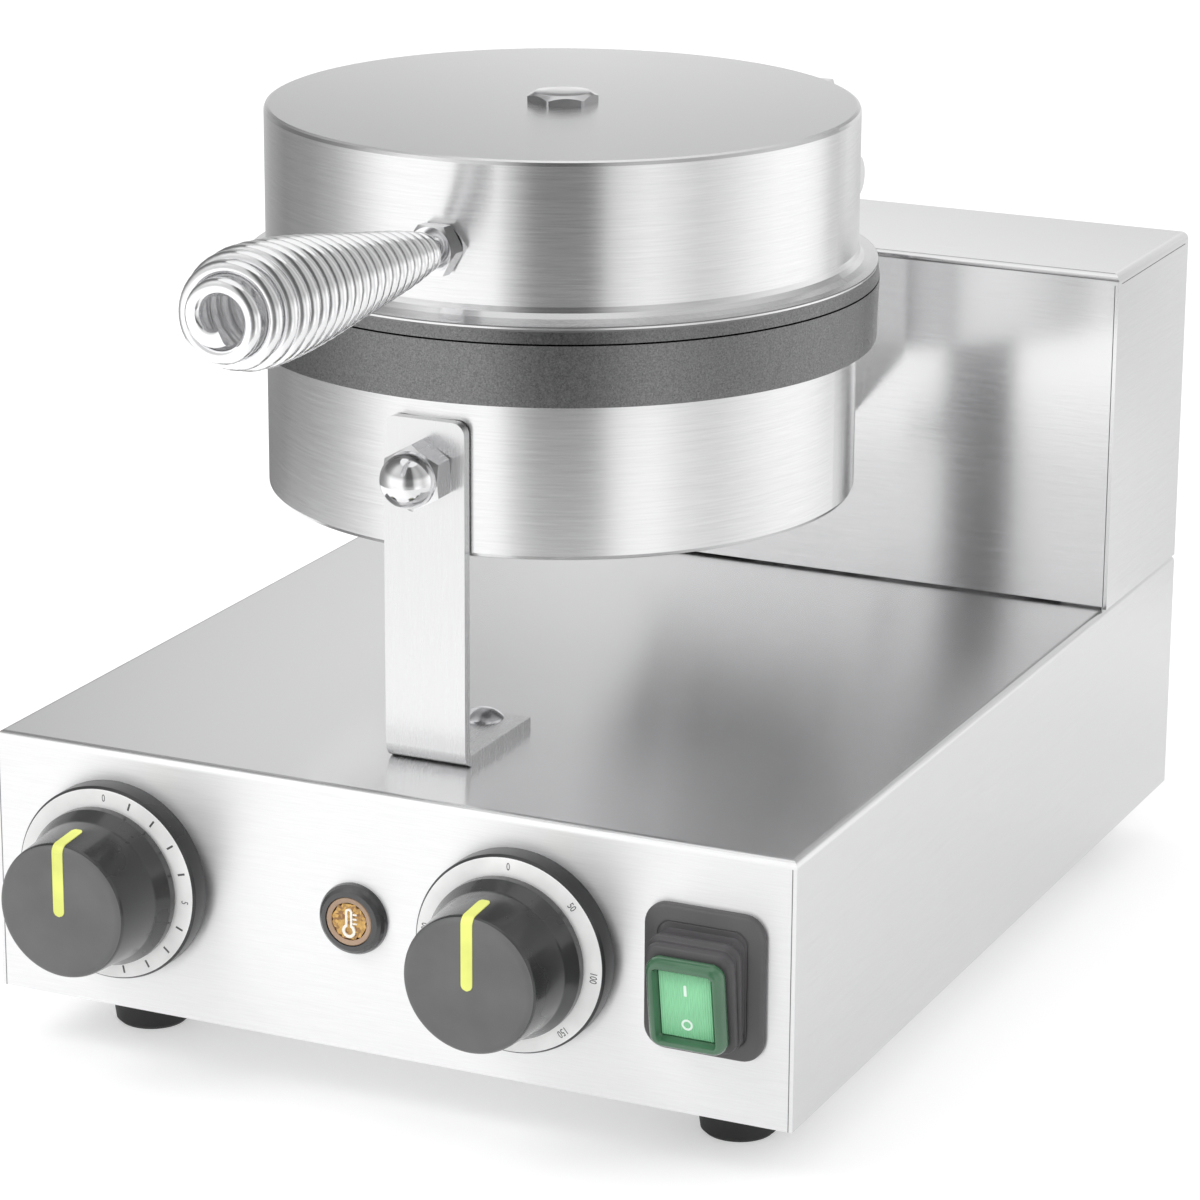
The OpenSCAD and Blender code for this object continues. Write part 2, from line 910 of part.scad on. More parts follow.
module front_bolt() {
    head_y = drum_front + sheet_t + head_seat;
    color("silver")
        translate([0, head_y, bolt_z]) {
            backward()
                rotate([0, 0, 30])
                    hex_head(bolt_af, bolt_head_h, false);
            forward()
                cylinder(d = bolt_d, h = head_y - strip_y + bolt_nut_h);
        }
}

module front_dome_nut() {
    ball_z = dome_reach - dome_d / 2;
    color("silver")
        translate([0, strip_y, bolt_z])
            forward()
                difference() {
                    union() {
                        rotate([0, 0, 30])
                            hex_head(bolt_af, bolt_nut_h);
                        translate([0, 0, bolt_nut_h - over])
                            cylinder(d = dome_d, h = ball_z - bolt_nut_h + over);
                        translate([0, 0, ball_z])
                            sphere(d = dome_d);
                    }
                    translate([0, 0, -over])
                        cylinder(d = bolt_d + 2 * run_gap, h = bolt_nut_h + 2 * over);
                }
}

module rear_bolt() {
    color("silver")
        translate([0, drum_back + ear_t, bolt_z]) {
            backward()
                rotate([0, 0, 30])
                    hex_head(bolt_af, bolt_head_h, false);
            forward()
                cylinder(d = bolt_d, h = ear_t + sheet_t + head_seat + bolt_nut_h);
        }
}

module rear_nut() {
    color("silver")
        translate([0, drum_back - sheet_t - head_seat, bolt_z])
            forward()
                rotate([0, 0, 30])
                    hex_nut(bolt_af, bolt_nut_h, bolt_d + 2 * run_gap);
}

module hinge_pin() {
    color("silver")
        translate([0, hinge_y, hinge_z])
            rotate([0, 90, 0]) {
                translate([0, 0, -arm_out - fit_gap - pin_head_h])
                    cylinder(d = pin_d, h = 2 * arm_out + 2 * fit_gap + 2 * pin_head_h);
                translate([0, 0, arm_out + fit_gap])
                    hex_head(pin_head_af, pin_head_h, false);
            }
}

module hinge_nut() {
    color("silver")
        translate([-arm_out - fit_gap, hinge_y, hinge_z])
            rotate([0, -90, 0])
                hex_nut(pin_head_af, pin_head_h, pin_d + 2 * run_gap);
}

// Lower half of the head
module lower_shell() {
    h = lower_shell_h;
    color("gainsboro")
        difference() {
            at_drum(lower_shell_z)
                rotate_extrude($fn = 180)
                    polygon([
                        [0, 0],
                        [drum_r - shell_edge_r, 0],
                        [drum_r - shell_edge_r * 0.3, shell_edge_r * 0.3],
                        [drum_r, shell_edge_r],
                        [drum_r, h],
                        [wall_in, h],
                        [wall_in, sheet_t],
                        [0, sheet_t]
                    ]);
            at_drum(lower_shell_z - over)
                cylinder(d = clamp_d + hole_gap, h = sheet_t + 2 * over);
            translate([0, drum_front - over, bolt_z])
                backward()
                    cylinder(d = bolt_d + hole_gap, h = sheet_t + head_seat + 2 * over);
            translate([0, drum_back + over, bolt_z])
                forward()
                    cylinder(d = bolt_d + hole_gap, h = sheet_t + head_seat + 2 * over);
        }
}

// Heights measured from a plate's rim face towards its back
back_h = pocket_h + plate_floor;
heater_mid = back_h + heater_gap + heater_d / 2;
press_h = heater_mid + heater_d / 2 + heater_gap;

// Plate with its rim face on Z = 0 and its back towards +Z
module plate(rim_h, gutter) {
    difference() {
        union() {
            rotate_extrude($fn = 180)
                polygon([
                    [0, 0],
                    [plate_r, 0],
                    [plate_r - rim_taper, rim_h],
                    [spigot_r, rim_h],
                    [spigot_r, rim_h + spigot_h],
                    [pocket_r, rim_h + spigot_h],
                    [pocket_r, back_h],
                    [0, back_h]
                ]);
            cylinder(d = boss_d, h = press_h);
        }
        difference() {
            translate([0, 0, -over])
                cylinder(r = pocket_r, h = pocket_h + over, $fn = 180);
            studs();
        }
        if (gutter)
            rotate_extrude($fn = 180)
                translate([gutter_r, -over])
                    square([gutter_w, gutter_h + over]);
        translate([0, 0, press_h - press_depth()])
            cylinder(d = clamp_d + 2 * run_gap, h = press_depth() + over);
    }
}

function press_depth() = press_h - back_h + plate_floor / 2;

// Square studs left standing in a pocket
module studs() {
    reach = floor(pocket_r / stud_pitch);
    top = pocket_h - stud_h;
    for (i = [-reach:reach - 1], j = [-reach:reach - 1]) {
        x = (i + 0.5) * stud_pitch;
        y = (j + 0.5) * stud_pitch;
        corner = norm([abs(x) + stud_w / 2, abs(y) + stud_w / 2]);
        if (corner < pocket_r - over)
            translate([x - stud_w / 2, y - stud_w / 2, top])
                cube([stud_w, stud_w, stud_h + over]);
    }
}

module lower_plate() {
    block_z = -back_h - bulb_block[2];
    color("dimgray")
        at_drum(parting_z)
            difference() {
                union() {
                    mirror([0, 0, 1])
                        plate(lower_rim_h, true);
                    translate([-bulb_block[0] / 2, bulb_offset - bulb_block[1] / 2, block_z])
                        cube([bulb_block[0], bulb_block[1], bulb_block[2] + over]);
                }
                translate([-bulb_block[0] / 2 - over, bulb_offset, block_z + bulb_block[2] / 2])
                    rotate([0, 90, 0])
                        cylinder(d = bulb_d + hole_gap, h = bulb_block[0] + 2 * over);
            }
}

module upper_plate() {
    color("dimgray")
        at_drum(upper_rim_z)
            plate(upper_rim_h, false);
}

// Tubular heater in an open ring, its two cold ends turned away from the plate
module heater() {
    half_gap = (full_turn - heater_sweep) / 2;
    rotate([0, 0, 90 + half_gap])
        rotate_extrude(angle = heater_sweep)
            translate([heater_r, 0])
                circle(d = heater_d);
    for (s = [-1, 1])
        rotate([0, 0, 90 + s * leg_angle])
            translate([heater_r, 0, 0])
                cylinder(d = heater_leg_d, h = heater_leg);
}

module lower_heater() {
    color("gray")
        at_drum(parting_z - heater_mid)
            rotate([0, 180, 0])
                heater();
}

module upper_heater() {
    color("gray")
        at_drum(upper_rim_z + heater_mid)
            heater();
}

module pressure_plate() {
    difference() {
        cylinder(r = press_r, h = press_t, $fn = 180);
        translate([0, 0, -over])
            cylinder(d = clamp_d + hole_gap, h = press_t + 2 * over);
        for (s = [-1, 1])
            rotate([0, 0, 90 + s * leg_angle])
                translate([heater_r, 0, -over])
                    cylinder(d = heater_leg_d + 2 * fit_gap, h = press_t + 2 * over);
    }
}

press_low_z = parting_z - press_h - press_t;
press_high_z = upper_rim_z + press_h;

module lower_pressure_plate() {
    slot = [bulb_block[0] + 2 * over, bulb_block[1] + 2 * over];
    color("silver")
        difference() {
            at_drum(press_low_z)
                pressure_plate();
            at_drum(press_low_z - over)
                translate([-slot[0] / 2, bulb_offset - slot[1] / 2, 0])
                    cube([slot[0], slot[1], press_t + 2 * over]);
        }
}

module upper_pressure_plate() {
    color("silver")
        at_drum(press_high_z)
            pressure_plate();
}

module spacer(h) {
    color("silver")
        difference() {
            cylinder(d = spacer_d, h = h);
            translate([0, 0, -over])
                cylinder(d = clamp_d + hole_gap, h = h + 2 * over);
        }
}

module lower_spacer() {
    at_drum(lower_shell_z + sheet_t)
        spacer(press_low_z - lower_shell_z - sheet_t);
}

module upper_spacer() {
    at_drum(press_high_z + press_t)
        spacer(lid_z - sheet_t - press_high_z - press_t);
}

module lower_clamp_bolt() {
    tip_z = parting_z - press_h + clamp_bite;
    color("silver")
        at_drum(lower_shell_z) {
            mirror([0, 0, 1])
                hex_head(clamp_head_af, clamp_head_h, false);
            cylinder(d = clamp_d, h = tip_z - lower_shell_z);
        }
}

module lid_bolt() {
    tip_z = upper_rim_z + press_h - clamp_bite;
    color("silver")
        at_drum(lid_z) {
            hex_head(lid_head_af, lid_head_h, false);
            translate([0, 0, tip_z - lid_z])
                cylinder(d = clamp_d, h = lid_z - tip_z + over);
        }
}

module thermostat_bulb() {
    color("peru")
        at_drum(parting_z - back_h - bulb_block[2] / 2)
            translate([-bulb_l / 2, bulb_offset, 0])
                rotate([0, 90, 0])
                    cylinder(d = bulb_d, h = bulb_l);
}

// Upper half of the head
module upper_shell() {
    h = upper_shell_h;
    flare_top = skirt_lip_h + skirt_flare_h;
    color("gainsboro")
        difference() {
            at_drum(upper_shell_z)
                rotate_extrude($fn = 180)
                    polygon(concat(
                        [[skirt_r - sheet_t, 0], [skirt_r, 0]],
                        skirt_curve(skirt_r, drum_r, skirt_lip_h, flare_top),
                        [
                            [drum_r, h - shell_edge_r],
                            [drum_r - shell_edge_r * 0.3, h - shell_edge_r * 0.3],
                            [drum_r - shell_edge_r, h],
                            [0, h],
                            [0, h - sheet_t],
                            [wall_in, h - sheet_t]
                        ],
                        skirt_curve(wall_in, skirt_r - sheet_t, flare_top + sheet_t / 2, skirt_lip_h)
                    ));
            at_drum(lid_z - sheet_t - over)
                cylinder(d = clamp_d + hole_gap, h = sheet_t + 2 * over);
            at_handle()
                translate([0, 0, -handle_stud_l])
                    cylinder(d = handle_stud_d + hole_gap, h = handle_stud_l + over);
            for (s = [-1, 1])
                translate([s * arm_screw_x, drum_back + over, hinge_z + arm_screw_z])
                    forward()
                        cylinder(d = arm_screw_d + hole_gap, h = 3 * arm_screw_head_h);
        }
}

// Quarter wave between two radii at two heights
function skirt_curve(r0, r1, z0, z1) = [
    for (t = [0:0.25:1]) [r0 + (r1 - r0) * (r0 > r1 ? sin(90 * t) : 1 - cos(90 * t)),
        z0 + (z1 - z0) * (r0 > r1 ? 1 - cos(90 * t) : sin(90 * t))]
];

// Hinge arm: a channel that hugs the upper shell and carries the pin in its cheeks
module hinge_arm() {
    web_back = drum_back + arm_t;
    arm_top = hinge_z + arm_high;
    arm_bottom = hinge_z - arm_low;
    root_y = drum_y + sqrt(drum_r * drum_r - arm_out * arm_out) - over;
    color("silver")
        difference() {
            union() {
                mirrored_x()
                    arm_cheek(root_y);
                translate([-arm_out, root_y, arm_bottom])
                    cube([2 * arm_out, web_back - root_y, arm_top - arm_bottom]);
                translate([-arm_out, root_y, arm_top - arm_t])
                    cube([2 * arm_out, hinge_y - arm_brow - root_y, arm_t]);
            }
            at_drum(arm_bottom - over)
                cylinder(r = drum_r, h = arm_top - arm_bottom + 2 * over, $fn = 180);
            translate([-arm_out - over, hinge_y, hinge_z])
                rotate([0, 90, 0])
                    cylinder(d = pin_d + 2 * run_gap, h = 2 * arm_out + 2 * over);
            for (s = [-1, 1])
                translate([s * arm_screw_x, web_back + over, hinge_z + arm_screw_z])
                    forward()
                        cylinder(d = arm_screw_d + hole_gap, h = 3 * arm_screw_head_h);
        }
}

module arm_cheek(root_y) {
    translate([arm_in, hinge_y, hinge_z])
        rotate([90, 0, 90])
            linear_extrude(arm_t) {
                polygon([
                    [root_y - hinge_y, -arm_low],
                    [-arm_r / 2, -arm_low],
                    [0, -arm_r],
                    [arm_heel, -arm_r],
                    [arm_heel, arm_heel_h],
                    [-arm_brow, arm_high],
                    [root_y - hinge_y, arm_high]
                ]);
                circle(r = arm_r);
            }
}

arm_screw_seat = drum_back + arm_t;

module hinge_arm_screws() {
    inner_y = drum_y + sqrt(wall_in * wall_in - arm_screw_x * arm_screw_x);
    color("silver")
        for (s = [-1, 1])
            translate([s * arm_screw_x, arm_screw_seat, hinge_z + arm_screw_z]) {
                backward()
                    difference() {
                        cylinder(d = arm_screw_head_d, h = arm_screw_head_h);
                        translate([0, 0, arm_screw_head_h / 2])
                            cylinder(d = arm_screw_d * 0.9, h = arm_screw_head_h, $fn = 6);
                    }
                forward()
                    cylinder(d = arm_screw_d, h = arm_screw_seat - inner_y + arm_screw_head_h);
            }
}

// Handle
module at_handle() {
    translate([handle_x, handle_y, handle_z])
        rotate([90 - handle_tilt, 0, 0])
            children();
}

module handle_boss() {
    color("silver")
        at_handle()
            difference() {
                union() {
                    translate([0, 0, boss_seat])
                        hex_head(handle_af, handle_boss_h);
                    translate([0, 0, -handle_stud_l])
                        cylinder(d = handle_stud_d, h = handle_stud_l + boss_seat + over);
                }
                translate([tail_place()[0], tail_place()[1], boss_seat + handle_boss_h - wire_d])
                    cylinder(d = wire_d + hole_gap, h = wire_d + over);
            }
}

module handle_locknut() {
    color("silver")
        at_handle()
            translate([0, 0, -sheet_t - boss_seat - handle_locknut_h])
                hex_nut(handle_af, handle_locknut_h, handle_stud_d + 2 * run_gap);
}

// Path of the coil's wire. It leaves the fitting along the handle, bends into the first
// turn, winds out to the belly and in again to the tip, and ends on a short straight.
function tail_angle() = coil_start_angle - bend_angle;
function tail_place() = [coil_root_r * cos(tail_angle()), coil_root_r * sin(tail_angle())];

// Centreline radius of the coil at share u of its length
function coil_radius(u) =
    let (dome = taper_shares[len(taper_shares) - 1][0])
    u < dome
        ? coil_root_r + (coil_belly_r - coil_root_r) * lookup(u, taper_shares)
        : coil_tip_r + (coil_belly_r - coil_tip_r) * sqrt(1 - pow((u - dome) / (1 - dome), 2));

function polar(r, a, z) = [r * cos(a), r * sin(a), z];

// Points along the wire in the handle's own frame: Z runs from the fitting to the tip
function local_path() =
    let (
        bends = 3,
        turns = ring_count * coil_turns,
        rise = handle_l - wire_d / 2 - bend_rise,
        end = polar(coil_tip_r, coil_end_angle, handle_l - wire_d / 2),
        heading = polar(1, coil_end_angle + 90, 0)
    )
    concat(
        [polar(coil_root_r, tail_angle(), -wire_d)],
        [
            for (i = [0:bends])
                let (b = bend_turn * i / bends)
                polar(coil_root_r, tail_angle() + (1 - cos(b)) * 180 / PI,
                    coil_root_r * sin(b))
        ],
        [
            for (i = [1:turns])
                let (u = i / turns)
                polar(coil_radius(u), coil_start_angle + full_turn * i / ring_count,
                    bend_rise + rise * u)
        ],
        [end + wire_d * heading]
    );

function to_machine(p) =
    let (
        out = boss_seat + handle_boss_h + p[2],
        c = cos(handle_tilt),
        s = sin(handle_tilt)
    )
    [handle_x + p[0], handle_y - out * c + p[1] * s, handle_z + out * s + p[1] * c];

function coil_path() = [for (p = local_path()) to_machine(p)];

// Six-sided tube along the path, each ring square to the wire
module tube(path, d) {
    n = len(path);
    rings = [
        for (i = [0:n - 1])
            let (
                ahead = path[min(i + 1, n - 1)] - path[max(i - 1, 0)],
                t = ahead / norm(ahead),
                outward = [path[i][0], path[i][1], 0],
                flat = outward - (outward * t) * t,
                u = flat / norm(flat),
                v = cross(t, u)
            )
            for (k = [0:side_count - 1])
                let (a = full_turn * k / side_count)
                path[i] + d / 2 * (cos(a) * u + sin(a) * v)
    ];
    m = side_count;
    sides = [
        for (i = [0:n - 2], k = [0:m - 1])
            let (a = i * m + k, b = i * m + (k + 1) % m)
            each [[a, a + m, b], [b, a + m, b + m]]
    ];
    caps = [
        for (k = [1:m - 2])
            each [[0, k, k + 1], [(n - 1) * m, (n - 1) * m + k + 1, (n - 1) * m + k]]
    ];
    polyhedron(points = rings, faces = concat(sides, caps));
}

module handle_spring() {
    color("silver")
        at_handle()
            translate([0, 0, boss_seat + handle_boss_h])
                tube(local_path(), wire_d);
}

// Least distance from a wire point to the neighbouring turn, less the wire
function segment_gap(p, a, b) =
    let (d = b - a, t = max(0, min(1, (p - a) * d / (d * d))))
    norm(p - a - t * d);
coil_gap = min([
    for (i = [0:len(coil_points) - 1], j = [i + 5:i + ring_count + 3])
        if (j + 1 < len(coil_points)) segment_gap(coil_points[i], coil_points[j], coil_points[j + 1])
]) - wire_d;
echo(coil_gap = coil_gap, coil_pitch = coil_pitch);

// Controls
module control_body(box, x) {
    at_panel(x)
        difference() {
            union() {
                translate([-box[0] / 2, sheet_t, -box[2] / 2])
                    cube(box);
                translate([0, sheet_t + over, 0])
                    forward()
                        cylinder(d = bushing_d, h = sheet_t + over + bushing_out);
            }
            translate([0, spindle_in, 0])
                forward()
                    cylinder(d = spindle_d + 2 * run_gap, h = spindle_in + bushing_out + over);
            for (s = [-1, 1])
                translate([s * control_screw_x, 0, 0])
                    backward()
                        cylinder(d = control_screw_d + 2 * run_gap,
                            h = sheet_t + control_screw_l + over);
        }
}

module timer_body() {
    color("whitesmoke")
        control_body(timer_box, timer_x);
}

module thermostat_body() {
    color("silver")
        control_body(thermostat_box, thermostat_x);
}

module dial(x) {
    rim_r = dial_d / 2;
    face_r = rim_r - dial_draft;
    color("whitesmoke")
        at_panel(x)
            forward()
                rotate_extrude($fn = 120)
                    polygon([
                        [bushing_d / 2 + hole_gap, 0],
                        [dial_hub_d / 2, 0],
                        [dial_hub_d / 2, dial_t - dial_face_t],
                        [face_r - dial_wall, dial_t - dial_face_t],
                        [rim_r - dial_wall, 0],
                        [rim_r, 0],
                        [face_r, dial_t],
                        [bushing_d / 2 + hole_gap, dial_t]
                    ]);
}

module control_screws() {
    color("darkgray")
        for (x = [timer_x, thermostat_x], s = [-1, 1])
            at_panel(x)
                translate([s * control_screw_x, 0, 0])
                    forward()
                        dome_screw(control_screw_d, control_head_d, control_head_h,
                            sheet_t + control_screw_l);
}

module spindle(x) {
    color("silver")
        at_panel(x)
            translate([0, spindle_in - fit_gap, 0])
                forward()
                    cylinder(d = spindle_d, h = spindle_in - fit_gap + knob_reach - 2 * knob_wall);
}

module knob(x) {
    start = dial_t + knob_gap;
    shoulder = start + knob_skirt_t;
    nose_r = knob_nose_d / 2;
    body_r = knob_body_d / 2;
    depth = knob_reach - knob_wall;
    color("dimgray")
        at_panel(x)
            forward()
                difference() {
                    rotate_extrude($fn = 120)
                        polygon(concat(
                            [
                                [0, start],
                                [knob_d / 2 - fit_gap, start],
                                [knob_d / 2, start + fit_gap],
                                [knob_d / 2, shoulder],
                                [body_r, shoulder + fit_gap]
                            ],
                            [
                                for (a = [0:18:90])
                                    [nose_r - knob_round * (1 - cos(a)),
                                        knob_reach - knob_round * (1 - sin(a))]
                            ],
                            [[0, knob_reach]]
                        ));
                    difference() {
                        rotate_extrude($fn = 120)
                            polygon([
                                [0, start - over],
                                [body_r - knob_wall, start - over],
                                [nose_r - knob_wall - knob_round / 2, depth],
                                [0, depth]
                            ]);
                        translate([0, 0, start + over])
                            cylinder(d = knob_hub_d, h = depth);
                    }
                    cylinder(d = spindle_d + 2 * run_gap, h = knob_reach - 2 * knob_wall + fit_gap);
                }
}

// Signal lamp
module lamp_bezel() {
    mouth_r = lamp_mouth_d / 2;
    rim_r = lamp_d / 2;
    bore_r = lamp_barrel_d / 2 - sheet_t;
    color("dimgray")
        at_panel(lamp_x)
            forward()
                rotate_extrude($fn = 96)
                    polygon(concat(
                        [[lamp_barrel_d / 2, -lamp_barrel_l], [lamp_barrel_d / 2, 0], [rim_r, 0]],
                        [
                            for (a = [0:22.5:90])
                                [mouth_r + fit_gap + (rim_r - mouth_r - fit_gap) * cos(a),
                                    lamp_dome_h * sin(a)]
                        ],
                        [
                            [mouth_r, lamp_dome_h],
                            [mouth_r, over],
                            [bore_r, over],
                            [bore_r, -lamp_barrel_l]
                        ]
                    ));
}

module lamp_lens() {
    r = lamp_mouth_d / 2 - run_gap;
    color("orange")
        at_panel(lamp_x)
            translate([0, -over, 0])
                forward()
                    rotate_extrude($fn = 96)
                        polygon(concat(
                            [[0, 0], [r, 0], [r, lamp_lens_t]],
                            [
                                for (a = [30:30:90])
                                    [r * cos(a), lamp_lens_t + lamp_lens_rise * sin(a)]
                            ]
                        ));
}

module lamp_nut() {
    color("dimgray")
        at_panel(lamp_x)
            translate([0, sheet_t, 0])
                backward()
                    hex_nut(lamp_nut_af, lamp_nut_h, lamp_barrel_d + 2 * run_gap);
}

// Rocker switch
module switch_frame() {
    mouth_w = boot_w + 2 * run_gap;
    mouth_h = boot_h + 2 * run_gap;
    color("dimgray")
        at_panel(switch_x)
            forward()
                difference() {
                    union() {
                        linear_extrude(frame_t - frame_edge)
                            soft_rect(switch_w, switch_h, frame_r);
                        linear_extrude(frame_t)
                            soft_rect(switch_w - 2 * frame_edge, switch_h - 2 * frame_edge,
                                frame_r - frame_edge);
                    }
                    translate([0, 0, -over])
                        linear_extrude(frame_t + 2 * over)
                            soft_rect(mouth_w, mouth_h, boot_r);
                }
}

module switch_boot() {
    color("dimgray")
        at_panel(switch_x)
            forward()
                difference() {
                    union() {
                        linear_extrude(boot_t)
                            soft_rect(boot_w, boot_h, boot_r);
                        linear_extrude(boot_t + boot_step)
                            soft_rect(boot_w - 2 * boot_step, boot_h - 2 * boot_step,
                                boot_r - boot_step / 2);
                        linear_extrude(boot_t + 2 * boot_step)
                            soft_rect(boot_w - 4 * boot_step, boot_h - 4 * boot_step,
                                boot_r - boot_step);
                    }
                    translate([0, 0, -over])
                        linear_extrude(boot_t + 3 * boot_step + over)
                            soft_rect(hood_skirt_w + 2 * fit_gap, boot_h - 6 * boot_step,
                                hood_r - over);
                }
}

module switch_body() {
    slot_w = hood_skirt_w + 2 * fit_gap;
    color("dimgray")
        at_panel(switch_x)
            difference() {
                translate([-switch_box[0] / 2, 0, -switch_box[2] / 2])
                    cube(switch_box);
                translate([-slot_w / 2, -over, 2 * sheet_t - switch_box[2] / 2])
                    cube([slot_w, switch_box[1] / 2 + over, switch_box[2] - 4 * sheet_t]);
                translate([-switch_box[0] / 2 - over, pivot_y, 0])
                    rotate([0, 90, 0])
                        cylinder(d = trunnion_d + 2 * run_gap, h = switch_box[0] + 2 * over);
            }
}

// The rocker and its hood stand tipped: the upper end out while it is off
module at_rocker() {
    at_panel(switch_x)
        translate([0, pivot_y, 0])
            rotate([90 + rocker_tilt, 0, 0])
                children();
}

// Heights in the rocker's own frame, from its pivot outwards
hood_front = hood_out + pivot_y + hood_t;
hood_seat = hood_front - hood_t;
skirt_low = hood_seat - hood_skirt_t;

module switch_hood() {
    mouth_w = rocker_w + 2 * run_gap;
    mouth_h = rocker_h + 2 * run_gap;
    seat = hood_front - rocker_sink - rocker_t;
    color("seagreen")
        at_rocker()
            difference() {
                union() {
                    translate([0, 0, hood_seat])
                        linear_extrude(hood_t)
                            soft_rect(hood_w, hood_h, hood_r);
                    translate([0, 0, skirt_low])
                        linear_extrude(hood_skirt_t + over)
                            soft_rect(hood_skirt_w, hood_skirt_h, hood_r - over);
                    mirrored_x()
                        hood_leg();
                }
                translate([0, 0, skirt_low - over])
                    linear_extrude(hood_t + hood_skirt_t + 2 * over)
                        square([mouth_w - 2 * rocker_ledge, mouth_h - 2 * rocker_ledge], center = true);
                translate([0, 0, seat])
                    linear_extrude(hood_t)
                        square([mouth_w, mouth_h], center = true);
                translate([0, 0, hood_front - rocker_sink])
                    linear_extrude(rocker_sink + over)
                        soft_rect(hood_w - 2 * hood_wall, hood_h - 2 * hood_wall, over);
            }
}

// Leg that carries the hood's trunnion, on the right
module hood_leg() {
    translate([hood_skirt_w / 2 - hood_leg_t, 0, 0])
        rotate([0, 90, 0]) {
            linear_extrude(hood_leg_t) {
                circle(d = hood_leg_w);
                translate([-skirt_low - over, -hood_leg_w / 2])
                    square([skirt_low + over, hood_leg_w]);
            }
            cylinder(d = trunnion_d, h = hood_leg_t + trunnion_l);
        }
}

module switch_rocker() {
    color("lightgreen")
        at_rocker()
            translate([-rocker_w / 2, -rocker_h / 2, hood_front - rocker_sink - rocker_t])
                cube([rocker_w, rocker_h, rocker_t]);
}

placed() base_housing();
placed() base_bottom_panel();
placed() bottom_panel_screws();
placed() foot_at(0);  // foot_front_left
placed() foot_at(1);  // foot_front_right
placed() foot_at(2);  // foot_rear_left
placed() foot_at(3);  // foot_rear_right
placed() foot_fasteners();
placed() tower_housing();
placed() tower_rear_cover();
placed() rear_cover_screws();
placed() tower_fixing_screws();
placed() cable_gland();
placed() gland_locknut();
placed() terminal_block();
placed() front_bracket();
placed() rear_bracket();
placed() bracket_fasteners();
placed() front_bolt();
placed() front_dome_nut();
placed() rear_bolt();
placed() rear_nut();
placed() hinge_pin();
placed() hinge_nut();
placed() lower_shell();
placed() lower_plate();
placed() lower_heater();
placed() lower_pressure_plate();
placed() lower_spacer();
placed() lower_clamp_bolt();
placed() thermostat_bulb();
placed() timer_body();
placed() dial(timer_x);  // timer_dial
placed() thermostat_body();
placed() dial(thermostat_x);  // thermostat_dial
placed() control_screws();
placed() lamp_bezel();
placed() lamp_lens();
placed() lamp_nut();
placed() switch_frame();
placed() switch_boot();
placed() switch_body();
placed() hinge_arm();
placed() hinge_arm_screws();
placed() upper_shell();
placed() upper_plate();
placed() upper_heater();
placed() upper_pressure_plate();
placed() upper_spacer();
placed() lid_bolt();
placed() handle_boss();
placed() handle_locknut();
placed() handle_spring();
placed() knob(timer_x);  // timer_knob
placed() spindle(timer_x);  // timer_spindle
placed() knob(thermostat_x);  // thermostat_knob
placed() spindle(thermostat_x);  // thermostat_spindle
placed() switch_rocker();
placed() switch_hood();
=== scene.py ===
import math
import bmesh
import bpy
from mathutils import Matrix, Vector


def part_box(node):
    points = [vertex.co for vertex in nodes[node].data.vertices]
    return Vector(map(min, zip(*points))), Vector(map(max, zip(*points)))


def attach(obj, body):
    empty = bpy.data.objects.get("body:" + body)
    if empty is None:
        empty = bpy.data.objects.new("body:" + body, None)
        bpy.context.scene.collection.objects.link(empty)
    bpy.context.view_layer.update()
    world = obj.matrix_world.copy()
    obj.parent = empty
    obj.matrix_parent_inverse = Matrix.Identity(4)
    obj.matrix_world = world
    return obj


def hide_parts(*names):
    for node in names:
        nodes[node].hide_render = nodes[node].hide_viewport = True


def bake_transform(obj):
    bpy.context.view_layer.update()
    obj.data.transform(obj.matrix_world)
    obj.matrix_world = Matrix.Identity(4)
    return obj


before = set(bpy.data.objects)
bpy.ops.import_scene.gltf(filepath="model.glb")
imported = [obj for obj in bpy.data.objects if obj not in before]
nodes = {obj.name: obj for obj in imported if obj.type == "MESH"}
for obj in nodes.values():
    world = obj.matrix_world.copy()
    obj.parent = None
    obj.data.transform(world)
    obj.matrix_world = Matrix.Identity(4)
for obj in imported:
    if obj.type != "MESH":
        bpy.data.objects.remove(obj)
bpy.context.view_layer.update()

MM = 0.001

# Places read from the solids
panel_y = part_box("base_housing")[0].y
base_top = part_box("base_housing")[1].z
floor_z = 0.0


def middle(node):
    low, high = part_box(node)
    return (low + high) / 2


drum = middle("upper_shell")
timer = middle("timer_dial")
thermostat = middle("thermostat_dial")
lamp = middle("lamp_bezel")
switch = middle("switch_frame")


# Mesh helpers
def new_piece(name, verts, faces, material, body, sharp=40):
    """Closed mesh, shaded smooth up to the edge angle sharp. A piece with body None is attached to no
    body.
    """
    mesh = bpy.data.meshes.new(name)
    mesh.from_pydata([tuple(v) for v in verts], [], faces)
    mesh.validate()
    solid = bmesh.new()
    solid.from_mesh(mesh)
    bmesh.ops.remove_doubles(solid, verts=solid.verts, dist=1e-7)
    bmesh.ops.recalc_face_normals(solid, faces=solid.faces)
    solid.to_mesh(mesh)
    solid.free()
    mesh.update()
    mesh.polygons.foreach_set("use_smooth", [True] * len(mesh.polygons))
    mesh.set_sharp_from_angle(angle=math.radians(sharp))
    piece = bpy.data.objects.new(name, mesh)
    bpy.context.scene.collection.objects.link(piece)
    mesh.materials.append(material)
    if body:
        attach(piece, body)
    return piece


